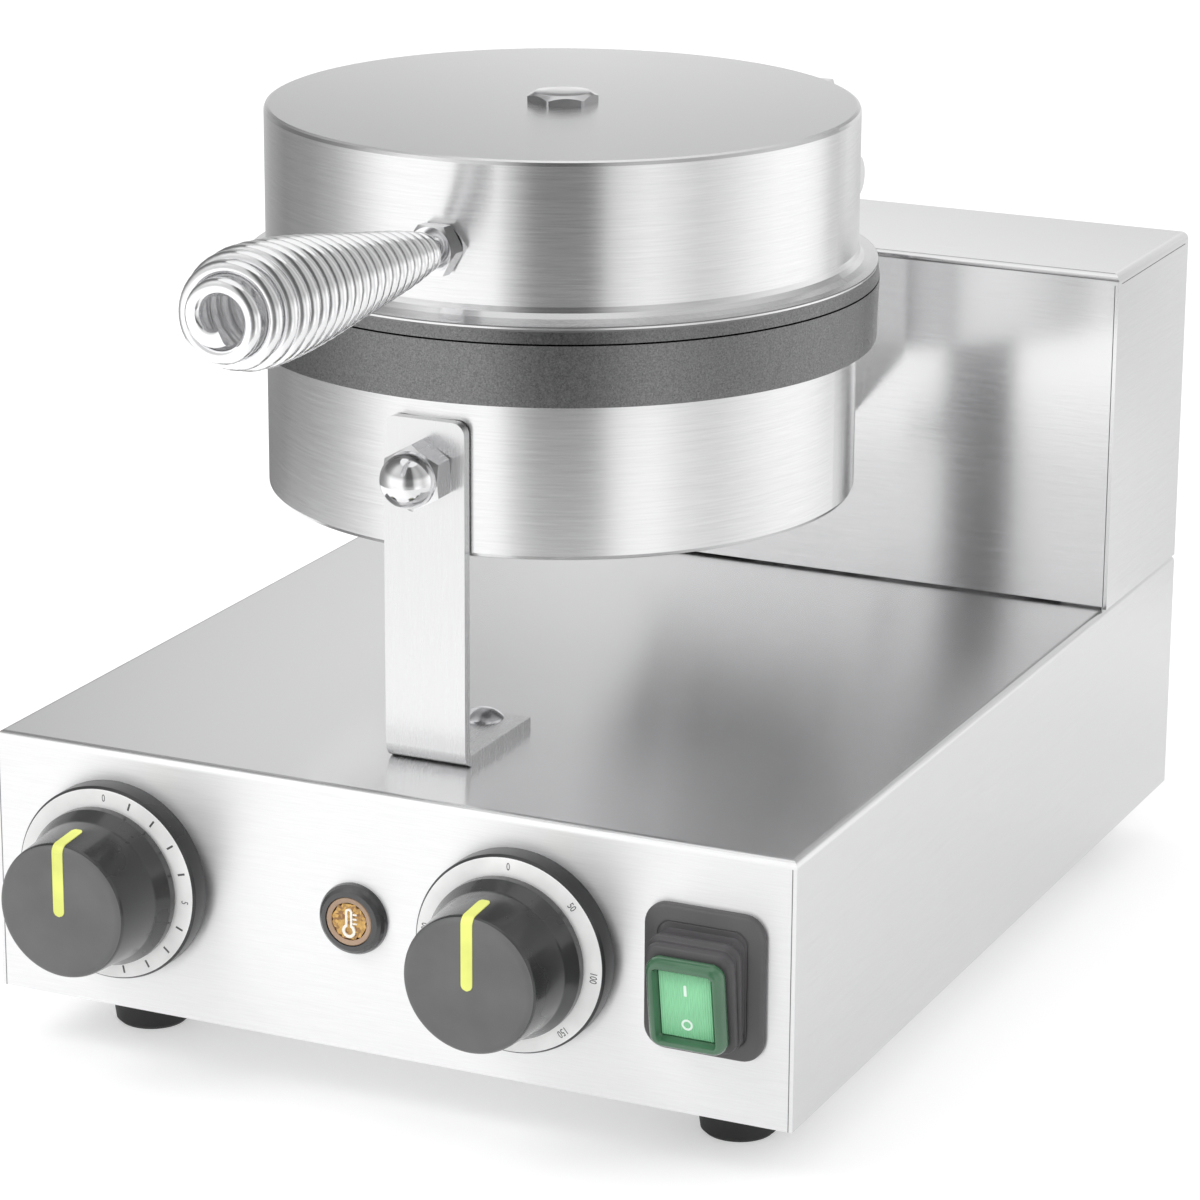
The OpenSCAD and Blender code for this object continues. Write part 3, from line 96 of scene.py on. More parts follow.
def rounded(points, steps=5):
    """Outline of (r, h) or (r, h, fillet) points, each fillet turned into an arc."""
    out = []
    n = len(points)
    for i, point in enumerate(points):
        p = Vector(point[:2])
        fillet = point[2] if len(point) > 2 else 0
        if not fillet or i in (0, n - 1):
            out.append(p)
            continue
        a = (Vector(points[i - 1][:2]) - p).normalized()
        b = (Vector(points[i + 1][:2]) - p).normalized()
        half = a.angle(b) / 2
        reach = fillet / math.tan(half)
        centre = p + (a + b).normalized() * fillet / math.sin(half)
        start = p + a * reach - centre
        end = p + b * reach - centre
        turn = start.angle_signed(end)
        for k in range(steps + 1):
            out.append(centre + Matrix.Rotation(-turn * k / steps, 2) @ start)
    return out


def lathe(points, steps, place, closed=False):
    """Verts and faces of (r, h) points in mm turned about an axis; place maps (x, y, h) mm to metres."""
    verts = []
    faces = []
    n = len(points)
    for i in range(steps):
        a = 2 * math.pi * i / steps
        for r, h in points:
            verts.append(place(r * math.cos(a), r * math.sin(a), h))
    for i in range(steps):
        j = (i + 1) % steps
        for k in range(n if closed else n - 1):
            m = (k + 1) % n
            faces.append((i * n + k, j * n + k, j * n + m, i * n + m))
    return verts, faces


def slab(points, faces, low):
    """Closed solid under a sheet of (x, y, h) points, with a flat back at height low."""
    n = len(points)
    solid = list(points) + [(p[0], p[1], low) for p in points]
    edges = dict.fromkeys(edge for face in faces for edge in zip(face, face[1:] + face[:1]))
    shell = list(faces) + [tuple(n + k for k in reversed(face)) for face in faces]
    shell += [(b, a, n + a, n + b) for a, b in edges if (b, a) not in edges]
    return solid, shell


def soft_ring(w, h, r, corner=8):
    """Points of a rounded rectangle about the origin, anticlockwise."""
    points = []
    for i, (x, y) in enumerate(((1, 1), (-1, 1), (-1, -1), (1, -1))):
        for k in range(corner + 1):
            a = math.radians(90 * i + 90 * k / corner)
            points.append((x * (w / 2 - r) + r * math.cos(a), y * (h / 2 - r) + r * math.sin(a)))
    return points


def ring_stack(rows, place):
    """Closed tube of (w, h, r, z, tip) rounded rectangles; place maps (x, y, z, tip) to metres."""
    verts = []
    faces = []
    for w, h, r, z, tip in rows:
        ring = soft_ring(w, h, r)
        verts += [place(x, y, z, tip) for x, y in ring]
    n = len(ring)
    for i in range(len(rows)):
        j = (i + 1) % len(rows)
        for k in range(n):
            m = (k + 1) % n
            faces.append((i * n + k, i * n + m, j * n + m, j * n + k))
    return verts, faces


def upward(centre, z0):
    """Above height z0, which is in metres, on the axis through centre."""
    return lambda x, y, h: Vector((centre.x + x * MM, centre.y + y * MM, z0 + h * MM))


def outward(centre):
    """From the panel towards the user: h counts from the panel's face."""
    return lambda x, y, h: Vector((centre.x + x * MM, panel_y - h * MM, centre.z + y * MM))


# Material helpers
def material(name, color, rough, metallic=0.0):
    mat = bpy.data.materials.new(name)
    mat.use_nodes = True
    shader = mat.node_tree.nodes["Principled BSDF"]
    shader.inputs["Base Color"].default_value = (*color, 1)
    shader.inputs["Roughness"].default_value = rough
    shader.inputs["Metallic"].default_value = metallic
    return mat, mat.node_tree, shader


def add(tree, kind, **values):
    node = tree.nodes.new(kind)
    for key, value in values.items():
        setattr(node, key, value)
    return node


def math_node(tree, operation, a, b=None):
    node = add(tree, "ShaderNodeMath", operation=operation)
    for i, value in enumerate((a, b)):
        if value is None:
            continue
        if isinstance(value, (int, float)):
            node.inputs[i].default_value = value
        else:
            tree.links.new(value, node.inputs[i])
    return node.outputs[0]


def noise(tree, vector, scale, detail=2.0, rough=0.5):
    node = add(tree, "ShaderNodeTexNoise")
    node.inputs["Scale"].default_value = scale
    node.inputs["Detail"].default_value = detail
    node.inputs["Roughness"].default_value = rough
    tree.links.new(vector, node.inputs["Vector"])
    return node.outputs["Fac"]


def map_range(tree, value, start, end, low, high, curve="LINEAR"):
    """low where value is start or less, high where it is end or more."""
    node = add(tree, "ShaderNodeMapRange", interpolation_type=curve)
    for socket, number in zip(("From Min", "From Max", "To Min", "To Max"), (start, end, low, high)):
        node.inputs[socket].default_value = number
    tree.links.new(value, node.inputs["Value"])
    return node.outputs["Result"]


def spread(tree, value, low, high):
    """A noise, most of which lies between 0.3 and 0.7, turned into low to high."""
    return map_range(tree, value, 0.3, 0.7, low, high)


def tint(tree, shader, value, low, high):
    """Base colour between the colours low and high."""
    node = add(tree, "ShaderNodeMix", data_type="RGBA")
    node.inputs[6].default_value = (*low, 1)
    node.inputs[7].default_value = (*high, 1)
    tree.links.new(value, node.inputs[0])
    tree.links.new(node.outputs[2], shader.inputs["Base Color"])


def bump(tree, shader, height, distance):
    node = add(tree, "ShaderNodeBump")
    node.inputs["Strength"].default_value = 1.0
    node.inputs["Distance"].default_value = distance
    tree.links.new(height, node.inputs["Height"])
    tree.links.new(node.outputs["Normal"], shader.inputs["Normal"])


def combine(tree, x, y, z):
    node = add(tree, "ShaderNodeCombineXYZ")
    for i, value in enumerate((x, y, z)):
        if isinstance(value, (int, float)):
            node.inputs[i].default_value = value
        else:
            tree.links.new(value, node.inputs[i])
    return node.outputs[0]


def split(tree, vector):
    node = add(tree, "ShaderNodeSeparateXYZ")
    tree.links.new(vector, node.inputs[0])
    return node.outputs


def object_place(tree):
    return add(tree, "ShaderNodeTexCoord").outputs["Object"]


brushed_r = 0.08


def brushed(name, color, rough, kind, aniso, front_rough=None, grain=1.0, coarse=1.0):
    """Brushed steel. kind is round for lines round the drum's axis, upright for lines along Z, flat for
    level lines. Highlights stretch across the lines. front_rough is for faces that look to the front.
    grain is how much the lines show, coarse how wide they are. Lines round the axis keep their length at
    the radius brushed_r."""
    mat, tree, shader = material(name, color, rough, 1.0)
    shader.inputs["Anisotropic"].default_value = aniso
    x, y, z = split(tree, object_place(tree))
    facing = split(tree, add(tree, "ShaderNodeNewGeometry").outputs["Normal"])

    def calc(operation, a, b=None):
        return math_node(tree, operation, a, b)

    def weighed(a, a_weight, b, b_weight):
        return calc("ADD", calc("MULTIPLY", a, a_weight), calc("MULTIPLY", b, b_weight))

    def faces_along(axis):
        return calc("GREATER_THAN", calc("ABSOLUTE", facing[axis]), 0.7)

    lying = faces_along(2)
    standing = calc("SUBTRACT", 1.0, lying)
    tangent = (0.0, lying, standing)
    if kind == "round":
        turn = calc("ARCTAN2", calc("SUBTRACT", y, drum.y), calc("SUBTRACT", x, drum.x))
        along = weighed(x, lying, calc("MULTIPLY", turn, brushed_r), standing)
        across = weighed(y, lying, z, standing)
    else:
        sideways = faces_along(0)
        level = calc("SUBTRACT", 1.0, sideways)
        if kind == "upright":
            along = weighed(z, standing, y, lying)
            across = calc("ADD", x, calc("MULTIPLY", y, sideways))
            tangent = (level, sideways, 0.0)
        else:
            along = weighed(x, level, y, sideways)
            across = calc("ADD", z, calc("MULTIPLY", y, lying))
    tree.links.new(combine(tree, *tangent), shader.inputs["Tangent"])

    def lines(along_scale, across_scale):
        return combine(tree, calc("MULTIPLY", along, along_scale),
                       calc("MULTIPLY", across, across_scale), 0.0)

    fine = noise(tree, lines(90.0 / coarse, 2600.0 / coarse), 1.0, 3.0, 0.7)
    broad = noise(tree, lines(25.0, 700.0), 1.0)
    mixed = weighed(fine, 0.75, broad, 0.25)
    darker = tuple(c * (1 - 0.05 * grain) for c in color)
    lighter = tuple(min(1, c * (1 + 0.03 * grain)) for c in color)
    tint(tree, shader, spread(tree, mixed, 0.0, 1.0), darker, lighter)
    surface = spread(tree, mixed, rough - 0.03, rough + 0.03)
    if front_rough:
        front = calc("GREATER_THAN", calc("MULTIPLY", facing[1], -1.0), 0.7)
        surface = calc("ADD", surface, calc("MULTIPLY", front, front_rough - rough))
    tree.links.new(surface, shader.inputs["Roughness"])
    bump(tree, shader, mixed, 0.000005)
    return mat


def polished(name, color, rough):
    """Bare metal without brushing, a little smudged."""
    mat, tree, shader = material(name, color, rough, 1.0)
    smudge = noise(tree, object_place(tree), 140.0, 3.0)
    tree.links.new(spread(tree, smudge, rough * 0.7, rough * 1.5), shader.inputs["Roughness"])
    bump(tree, shader, noise(tree, object_place(tree), 900.0), 0.000006)
    return mat


def plastic(name, color, rough, grain_scale=2600.0, depth=0.00001, coat=0.0):
    """Plastic, rubber, paint or ceramic, with a grain of the given scale and depth, depth in metres."""
    mat, tree, shader = material(name, color, rough)
    shader.inputs["Coat Weight"].default_value = coat
    shader.inputs["Coat Roughness"].default_value = 0.12
    grain = noise(tree, object_place(tree), grain_scale)
    soft = noise(tree, object_place(tree), 60.0, 3.0)
    tint(tree, shader, spread(tree, soft, 0.0, 1.0), tuple(c * 0.88 for c in color),
         tuple(min(1, c * 1.12) for c in color))
    tree.links.new(spread(tree, soft, rough - 0.04, rough + 0.05), shader.inputs["Roughness"])
    bump(tree, shader, grain, depth)
    return mat


def cast(name):
    """Dark cast iron, pitted and speckled."""
    mat, tree, shader = material(name, (0.19, 0.19, 0.192), 0.3, 1.0)
    pits = noise(tree, object_place(tree), 700.0, 4.0, 0.65)
    specks = noise(tree, object_place(tree), 2400.0, 2.0, 0.6)
    tint(tree, shader, spread(tree, specks, 0.0, 1.0), (0.13, 0.13, 0.132), (0.26, 0.26, 0.262))
    tree.links.new(spread(tree, pits, 0.24, 0.38), shader.inputs["Roughness"])
    bump(tree, shader, pits, 0.00003)
    return mat


def facets(name):
    """Amber plastic whose cut faces differ in depth of colour."""
    mat, tree, shader = material(name, (0.6, 0.3, 0.05), 0.15)
    shader.inputs["Coat Weight"].default_value = 0.4
    cells = add(tree, "ShaderNodeTexVoronoi")
    cells.inputs["Scale"].default_value = 1100.0
    tree.links.new(object_place(tree), cells.inputs["Vector"])
    tint(tree, shader, split(tree, cells.outputs["Color"])[0], (0.27, 0.12, 0.03), (0.74, 0.44, 0.10))
    bump(tree, shader, noise(tree, object_place(tree), 1800.0), 0.000008)
    return mat


steel_base = brushed("brushed_steel_base", (0.83, 0.83, 0.835), 0.22, "flat", 0.75, front_rough=0.40)
steel_flat = brushed("brushed_steel_flat", (0.83, 0.83, 0.835), 0.13, "flat", 0.75)
steel_round = brushed("brushed_steel_round", (0.82, 0.82, 0.825), 0.22, "round", 0.75,
                      grain=1.5, coarse=1.4)
steel_upright = brushed("brushed_steel_upright", (0.76, 0.76, 0.765), 0.26, "upright", 0.5, grain=0.6)
bright = polished("bright_steel", (0.84, 0.84, 0.85), 0.10)
# Painted shade: the lid bolt's steel is a darker copy of the bright steel, standing for the dark
# reflections on its sides.
shaded_bolt_steel = polished("lid_bolt_steel_shaded", (0.64, 0.64, 0.65), 0.14)
chrome = polished("chrome_wire", (0.93, 0.93, 0.94), 0.13)
zinc = polished("zinc_screw", (0.80, 0.80, 0.82), 0.16)
pressed = polished("pressed_aluminium", (0.78, 0.78, 0.78), 0.32)
dark_tube = polished("heater_tube", (0.24, 0.24, 0.22), 0.42)
copper = polished("copper_bulb", (0.80, 0.42, 0.26), 0.25)
# Painted shade: dark metal for the strips that stand for the shade in seams, grooves and gaps.
painted_seam_shade = polished("seam_shadow", (0.22, 0.22, 0.22), 0.40)
plate_iron = cast("cast_plate")
knob_black = plastic("glossy_black_knob", (0.034, 0.034, 0.035), 0.28, 2200.0, 0.000006, 0.6)
# Nose of the knobs: a rougher, deeper grain, and a black lighter than the knob's sides, which is painted
# light for the light falling on the front.
knob_nose_lit = plastic("grained_black_nose_painted_lit", (0.125, 0.125, 0.126), 0.5, 2600.0, 0.000012)
nylon_black = plastic("black_nylon", (0.035, 0.035, 0.035), 0.5)
switch_black = plastic("switch_black", (0.085, 0.083, 0.085), 0.45, 1400.0, 0.00002)
boot_black = plastic("boot_rubber", (0.070, 0.067, 0.070), 0.42, 900.0, 0.00004)
foot_black = plastic("foot_rubber", (0.022, 0.022, 0.022), 0.6, 1200.0, 0.00003)
lamp_black = plastic("lamp_black", (0.055, 0.055, 0.057), 0.26, 900.0, 0.000006, 0.5)
case_white = plastic("control_case", (0.75, 0.74, 0.70), 0.5)
ceramic = plastic("ceramic_block", (0.80, 0.77, 0.68), 0.35, 500.0, 0.00002)
dial_white = plastic("dial_white", (0.88, 0.88, 0.875), 0.35, 1500.0, 0.000003)
dial_rim = plastic("dial_rim", (0.035, 0.035, 0.036), 0.30, 1500.0, 0.000003)
print_grey = plastic("print_grey", (0.10, 0.10, 0.10), 0.6)
pointer_yellow = plastic("pointer_yellow", (0.78, 0.82, 0.20), 0.5)
mark_white = plastic("mark_white", (0.78, 0.92, 0.82), 0.45)
sign_white = plastic("sign_white", (0.90, 0.86, 0.78), 0.4)
green_hood = plastic("green_hood", (0.052, 0.145, 0.076), 0.16, 800.0, 0.00001, 0.6)
green_rocker = plastic("green_rocker", (0.27, 0.66, 0.37), 0.30, 900.0, 0.00001, 0.2)
lens_rim = plastic("lens_rim", (0.40, 0.27, 0.18), 0.18, 900.0, 0.00001, 0.5)
amber = facets("amber_lens")

finish = {
    steel_base: ["base_housing"],
    steel_flat: ["base_bottom_panel", "tower_housing", "tower_rear_cover"],
    steel_round: ["lower_shell", "upper_shell"],
    steel_upright: ["front_bracket", "rear_bracket", "hinge_arm"],
    bright: ["front_bolt", "front_dome_nut", "rear_bolt", "rear_nut", "hinge_pin", "hinge_nut",
             "lower_clamp_bolt", "handle_boss", "handle_locknut", "hinge_arm_screws",
             "timer_spindle", "thermostat_spindle"],
    chrome: ["handle_spring"],
    zinc: ["bottom_panel_screws", "foot_fasteners", "rear_cover_screws", "tower_fixing_screws",
           "bracket_fasteners", "control_screws"],
    pressed: ["lower_pressure_plate", "upper_pressure_plate", "lower_spacer", "upper_spacer"],
    dark_tube: ["lower_heater", "upper_heater"],
    copper: ["thermostat_bulb"],
    plate_iron: ["lower_plate", "upper_plate"],
    knob_black: ["timer_knob", "thermostat_knob"],
    nylon_black: ["cable_gland", "gland_locknut", "lamp_nut"],
    switch_black: ["switch_body"],
    foot_black: ["foot_front_left", "foot_front_right", "foot_rear_left", "foot_rear_right"],
    lamp_black: ["lamp_bezel"],
    case_white: ["timer_body", "thermostat_body"],
    ceramic: ["terminal_block"],
    dial_rim: ["timer_dial", "thermostat_dial"],
}
for mat, names in finish.items():
    for name in names:
        mesh = nodes[name].data
        mesh.materials.clear()
        mesh.materials.append(mat)


# Handle: one wire in fine steps, its front end ground flat. Lengths are in mm, and cut_angle, helix_end
# and tail_angle, which count round the coil, in degrees.
wire = 4.3
handle_length = 113.5
turns = 21
root_r = 3.3
belly_r = 13.55
tip_r = 4.9
tip_from = 0.83
cut_angle = -65.0
cut_r = 6.9
ground_off = 0.75
closing = 0.9
coil_out = 6.1
tail_rise = 0.98
drum_r = 82.5
handle_x = 3.5
handle_up = 19.7
tilt = math.radians(3.3)
shares = [(0, 0), (0.13, 0.23), (0.34, 0.5), (0.62, 0.86), (0.76, 0.98), (0.85, 1)]
pitch = (handle_length - wire / 2 - tail_rise * root_r) / turns
climb = math.atan(pitch / (2 * math.pi * root_r))
bend_turn = math.pi / 2 - climb
bend_rise = root_r * math.sin(bend_turn)
helix_end = cut_angle - math.degrees(math.atan(wire / cut_r))
tail_angle = helix_end - 360 * turns - math.degrees(1 - math.cos(bend_turn))
handle_y = drum.y / MM - math.sqrt(drum_r ** 2 - handle_x ** 2)
handle_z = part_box("upper_shell")[0].z / MM + handle_up


def smooth_share(u):
    """Share of the coil's widening that is reached at share u of its length, by a cubic through shares."""
    n = len(shares)
    slopes = []
    for i in range(n):
        a = shares[max(i - 1, 0)]
        b = shares[min(i + 1, n - 1)]
        slopes.append((b[1] - a[1]) / (b[0] - a[0]))
    slopes[-1] = 0
    for i in range(n - 1):
        x0, y0 = shares[i]
        x1, y1 = shares[i + 1]
        if u <= x1:
            h = x1 - x0
            t = (u - x0) / h
            return ((2 * t ** 3 - 3 * t ** 2 + 1) * y0 + (t ** 3 - 2 * t ** 2 + t) * h * slopes[i]
                    + (3 * t ** 2 - 2 * t ** 3) * y1 + (t ** 3 - t ** 2) * h * slopes[i + 1])
    return 1


def coil_radius(u):
    if u < tip_from:
        return root_r + (belly_r - root_r) * smooth_share(u)
    return tip_r + (belly_r - tip_r) * math.sqrt(max(0, 1 - ((u - tip_from) / (1 - tip_from)) ** 2))


def coil_path(per_turn=40):
    """Centreline: a straight tail, a bend into the helix, then the turns, of which the last levels out."""
    def polar(r, degrees, s):
        a = math.radians(degrees)
        return Vector((r * math.cos(a), r * math.sin(a), s))
    path = [polar(root_r, tail_angle, -wire), polar(root_r, tail_angle, -wire / 2)]
    for i in range(9):
        b = bend_turn * i / 8
        path.append(polar(root_r, tail_angle + math.degrees(1 - math.cos(b)), root_r * math.sin(b)))
    total = turns + (cut_angle - helix_end) / 360
    ground = handle_length - wire / 2 + ground_off
    rise = ground - bend_rise
    full = total - closing / 2
    n = round(per_turn * total)
    for i in range(1, n + 1):
        t = total * i / n
        left = max(0, t - (total - closing))
        climbed = min(t, total - closing) + left - left * left / (2 * closing)
        u = climbed / full
        path.append(polar(coil_radius(u), helix_end - 360 * turns + 360 * t, bend_rise + rise * u))
    return path


def coil_mesh(sides=20):
    """Wire round the centreline, cut flat at the handle's front end."""
    path = coil_path()
    n = len(path)
    verts = []
    faces = []
    lean = Matrix.Rotation(math.pi / 2 - tilt, 3, "X")
    root = Vector((handle_x, handle_y, handle_z))
    for i, p in enumerate(path):
        t = (path[min(i + 1, n - 1)] - path[max(i - 1, 0)]).normalized()
        out = Vector((p.x, p.y, 0))
        u = (out - out.dot(t) * t).normalized()
        v = t.cross(u)
        for k in range(sides):
            a = 2 * math.pi * k / sides
            q = p + wire / 2 * (math.cos(a) * u + math.sin(a) * v)
            q.z = min(q.z, handle_length)
            verts.append((root + lean @ (q + Vector((0, 0, coil_out)))) * MM)
    for i in range(n - 1):
        for k in range(sides):
            m = (k + 1) % sides
            faces.append((i * sides + k, i * sides + m, (i + 1) * sides + m, (i + 1) * sides + k))
    faces.append(tuple(range(sides))[::-1])
    faces.append(tuple(range((n - 1) * sides, n * sides)))
    return verts, faces


verts, faces = coil_mesh()
coil = new_piece("coil_handle", verts, faces, chrome, "lid", 35)
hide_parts("handle_spring")


# Knobs: skirt, hollow flare and rounded nose, with a pointer line over the edge. Lengths are in mm.
nose_h = 31
nose_r = 19.0
nose_fillet = 2.3
side_r = 19.5
pointer_half = 1.65
pointer_short = 5.0
pointer_step = 0.35
pointer_across = 6


def pointer_points():
    """Middle line of the pointer, in short steps from past the knob's middle over its edge."""
    line = rounded([(-1.2, nose_h), (nose_r, nose_h, nose_fillet), (20.3, 14.5)], 10)
    stops = []
    for a, b in zip(line, line[1:]):
        count = max(1, round((b - a).length / pointer_step))
        stops += [a.lerp(b, k / count) for k in range(count)]
    return stops + [line[-1]]


def pointer_mesh(place):
    """Strip with round ends over the pointer's line, bent round the knob's side."""
    stops = pointer_points()
    length = sum((b - a).length for a, b in zip(stops, stops[1:])) - pointer_short
    verts = []
    walked = 0
    rows = 0
    for p, following in zip(stops, stops[1:]):
        if walked > length:
            break
        step = following - p
        end = min(walked, length - walked)
        w = pointer_half
        if end < w:
            w = math.sqrt(max(0.04, w ** 2 - (w - end) ** 2))
        out = Vector((-step.y, step.x)).normalized()
        on_side = max(0.0, min(1.0, (p.x - nose_r + nose_fillet) / nose_fillet))
        for lift in (0.22, -0.25):
            q = p + out * lift
            for k in range(pointer_across + 1):
                s = w * (2 * k / pointer_across - 1)
                verts.append(place(s, q.x - on_side * s * s / (2 * side_r), q.y))
        walked += step.length
        rows += 1
    ring = 2 * (pointer_across + 1)
    order = list(range(pointer_across + 1)) + list(range(ring - 1, pointer_across, -1))
    faces = []
    for i in range(rows - 1):
        for a, b in zip(order, order[1:] + order[:1]):
            faces.append((i * ring + a, i * ring + b, (i + 1) * ring + b, (i + 1) * ring + a))
    faces.append(tuple(order[::-1]))
    faces.append(tuple((rows - 1) * ring + k for k in order))
    return verts, faces


def knob(name, centre, body):
    """Hollow knob with its pointer; its nose has a rougher grain of its own and a lighter black, which is
    painted light.
    """
    outline = rounded([(0, nose_h), (nose_r, nose_h, nose_fillet), (20.3, 14.5, 3.0), (22.4, 10.0, 0.6),
                       (22.5, 7.7, 0.25), (22.2, 7.4), (19.2, 7.4), (17.0, 28.6), (5.9, 28.6), (5.9, 8.5),
                       (3.02, 8.5), (3.02, 26.9), (0, 26.9)], 8)
    verts, faces = lathe(outline, 128, outward(centre))
    piece = new_piece(name + "_body", verts, faces, knob_black, body, 32)
    # Painted light: faces that look to the front take the lighter nose black.
    piece.data.materials.append(knob_nose_lit)
    for face in piece.data.polygons:
        if face.normal.y < -0.55:
            face.material_index = 1
    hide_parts(name)
    verts, faces = pointer_mesh(outward(centre))
    new_piece(name + "_pointer", verts, faces, pointer_yellow, body, 50)


knob("timer_knob", timer, "timer_knob")
knob("thermostat_knob", thermostat, "thermostat_knob")


# Dials: dark rim, white face, printed marks
minute = 18.7
marks_r = 24.75


def glyphs(words, size, narrow):
    """Mesh points and faces of a word, centred, in mm."""
    curve = bpy.data.curves.new("word", "FONT")
    curve.body = words
    curve.size = size * MM
    curve.align_x = "CENTER"
    curve.align_y = "CENTER"
    curve.resolution_u = 3
    word = bpy.data.objects.new("word", curve)
    bpy.context.scene.collection.objects.link(word)
    bpy.context.view_layer.update()
    mesh = bpy.data.meshes.new_from_object(word)
    verts = [Vector((v.co.x / MM * narrow, v.co.y / MM)) for v in mesh.vertices]
    faces = [tuple(p.vertices) for p in mesh.polygons]
    bpy.data.objects.remove(word)
    bpy.data.meshes.remove(mesh)
    bpy.data.curves.remove(curve)
    return verts, faces


def dial(name, centre, marks):
    """Fixed dial; marks are (degrees clockwise from the top, word), a bar standing for a tick."""
    rim = rounded([(5.3, 6.4), (27.3, 6.4, 0.35), (27.8, 5.6, 0.3), (27.8, 0, 0.1), (25.8, 0),
                   (24.9, 4.8), (8.0, 4.8), (8.0, 0.0), (5.3, 0.0)], 4)
    verts, faces = lathe(rim, 160, outward(centre), True)
    piece = new_piece(name + "_ring", verts, faces, dial_rim, "base", 35)
    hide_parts(name)
    face = rounded([(5.4, 6.45), (5.4, 6.56), (27.05, 6.56, 0.05), (27.15, 6.45), (27.15, 6.3),
                    (5.4, 6.3)], 2)
    verts, faces = lathe(face, 160, outward(centre), True)
    new_piece(name + "_face", verts, faces, dial_white, "base", 40)
    place = outward(centre)
    points = []
    shapes = []
    for angle, word in marks:
        turn = Matrix.Rotation(-math.radians(angle), 2)
        if word == "|":
            outline = [Vector(p) for p in ((-0.28, -1.1), (0.28, -1.1), (0.28, 1.1), (-0.28, 1.1))]
            parts = [(0, 1, 2, 3)]
        else:
            outline, parts = glyphs(word, 3.0, 0.72)
        first = len(points)
        for p in outline:
            q = turn @ (p + Vector((0, marks_r)))
            points.append((q.x, q.y, 6.59))
        shapes += [tuple(first + k for k in part) for part in parts]
    points, shapes = slab(points, shapes, low=6.50)
    verts = [place(*p) for p in points]
    new_piece(name + "_marks", verts, shapes, print_grey, "base", 40)


dial("timer_dial", timer, [(minute * i, "|" if i % 5 else str(i)) for i in range(16)])
dial("thermostat_dial", thermostat, [(0, "0"), (48, "50"), (95, "100"), (140, "150"), (186, "200"),
                                     (232, "250"), (278, "300")])

# Switch: frame, bellows, green hood and ribbed rocker. Lengths are in mm, the lean at rest in degrees.
pivot_in = 4
rest_tip = 9


def at_switch(x, y, z, tip):
    """z counts outwards from the pivot behind the panel; tip is the lean in degrees, upper end out."""
    a = math.radians(tip)
    return Vector((switch.x + x * MM, panel_y + (pivot_in - math.sin(a) * y - math.cos(a) * z) * MM,
                   switch.z + (math.cos(a) * y - math.sin(a) * z) * MM))


def ringed(name, sizes, material, body):
    verts, faces = ring_stack(sizes, at_switch)
    return new_piece(name, verts, faces, material, body, 38)


frame_rows = [(0, 4.0), (0, 5.4), (0.12, 5.85), (0.45, 6.2), (0.95, 6.4), (3.2, 6.85), (3.6, 6.98),
              (4.0, 7.0), (4.2, 6.85), (4.2, 4.0)]
piece = ringed("switch_frame_body", [(33.8 - 2 * inset, 40.4 - 2 * inset, 6 - 0.5 * inset, z, 0)
                                     for inset, z in frame_rows], switch_black, "base")
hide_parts("switch_frame")
boot_rows = [(25.3, 31.9, 3.8, 4.6, 0), (25.3, 31.9, 3.8, 6.75, 0), (24.9, 31.5, 3.6, 6.95, 0),
             (24.2, 28.8, 3.4, 7.0, 0.05), (23.7, 28.2, 3.4, 7.35, 0.12), (23.7, 28.2, 3.4, 9.2, 0.4),
             (24.4, 28.8, 3.6, 9.5, 0.45), (25.5, 30.0, 4.1, 9.7, 0.5), (25.8, 30.3, 4.2, 10.0, 0.5),
             (25.8, 30.3, 4.2, 11.0, 0.5), (25.6, 30.1, 4.1, 11.4, 0.5), (25.0, 29.5, 3.9, 11.6, 0.52),
             (24.0, 28.4, 3.5, 11.7, 0.56), (23.7, 28.1, 3.4, 11.9, 0.6), (23.7, 28.1, 3.4, 12.2, 0.65),
             (24.4, 28.5, 3.6, 12.4, 0.7), (24.9, 28.8, 3.8, 12.7, 0.75), (24.9, 28.8, 3.8, 13.7, 0.8),
             (24.7, 28.6, 3.7, 14.1, 0.82), (24.2, 28.1, 3.6, 14.4, 0.85), (22.6, 26.6, 3.4, 14.55, 0.9),
             (19.6, 24.6, 2.8, 14.6, 1), (19.4, 24.4, 2.6, 14.3, 1), (19.4, 24.4, 2.6, 9.5, 0.6),
             (21.0, 26.0, 3.0, 5.4, 0.1)]
boot = ringed("switch_bellows", [(*row[:4], row[4] * rest_tip) for row in boot_rows], boot_black, None)
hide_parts("switch_boot")
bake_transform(boot)
hood_rows = [(15.2, 19.6, 0.6, 14.65), (19.4, 24.0, 2.6, 14.65), (20.8, 25.3, 3.3, 14.8),
             (21.5, 25.9, 3.6, 15.2), (21.7, 26.1, 3.7, 15.8), (21.7, 26.1, 3.7, 16.4),
             (21.5, 25.9, 3.6, 17.1), (21.05, 25.45, 3.38, 17.75), (20.4, 24.8, 3.05, 18.35),
             (19.6, 24.0, 2.65, 18.8), (18.7, 23.1, 2.2, 19.05), (17.9, 22.3, 1.9, 19.1),
             (17.2, 21.6, 1.6, 18.95), (16.8, 21.2, 1.4, 18.6), (16.4, 20.8, 1.2, 18.0),
             (16.0, 20.4, 0.9, 17.3), (15.4, 19.9, 0.7, 17.0), (15.2, 19.7, 0.6, 16.8)]
piece = ringed("switch_hood_rim", [(*row, rest_tip) for row in hood_rows], green_hood, "rocker")
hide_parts("switch_hood")
face_w = 14.7
face_h = 19.2
ribs = 21
rib_steps = 6
rib_depth = 0.11
face_edge = 0.3
face_z = 16.95
columns = ribs * rib_steps + 1
points = []
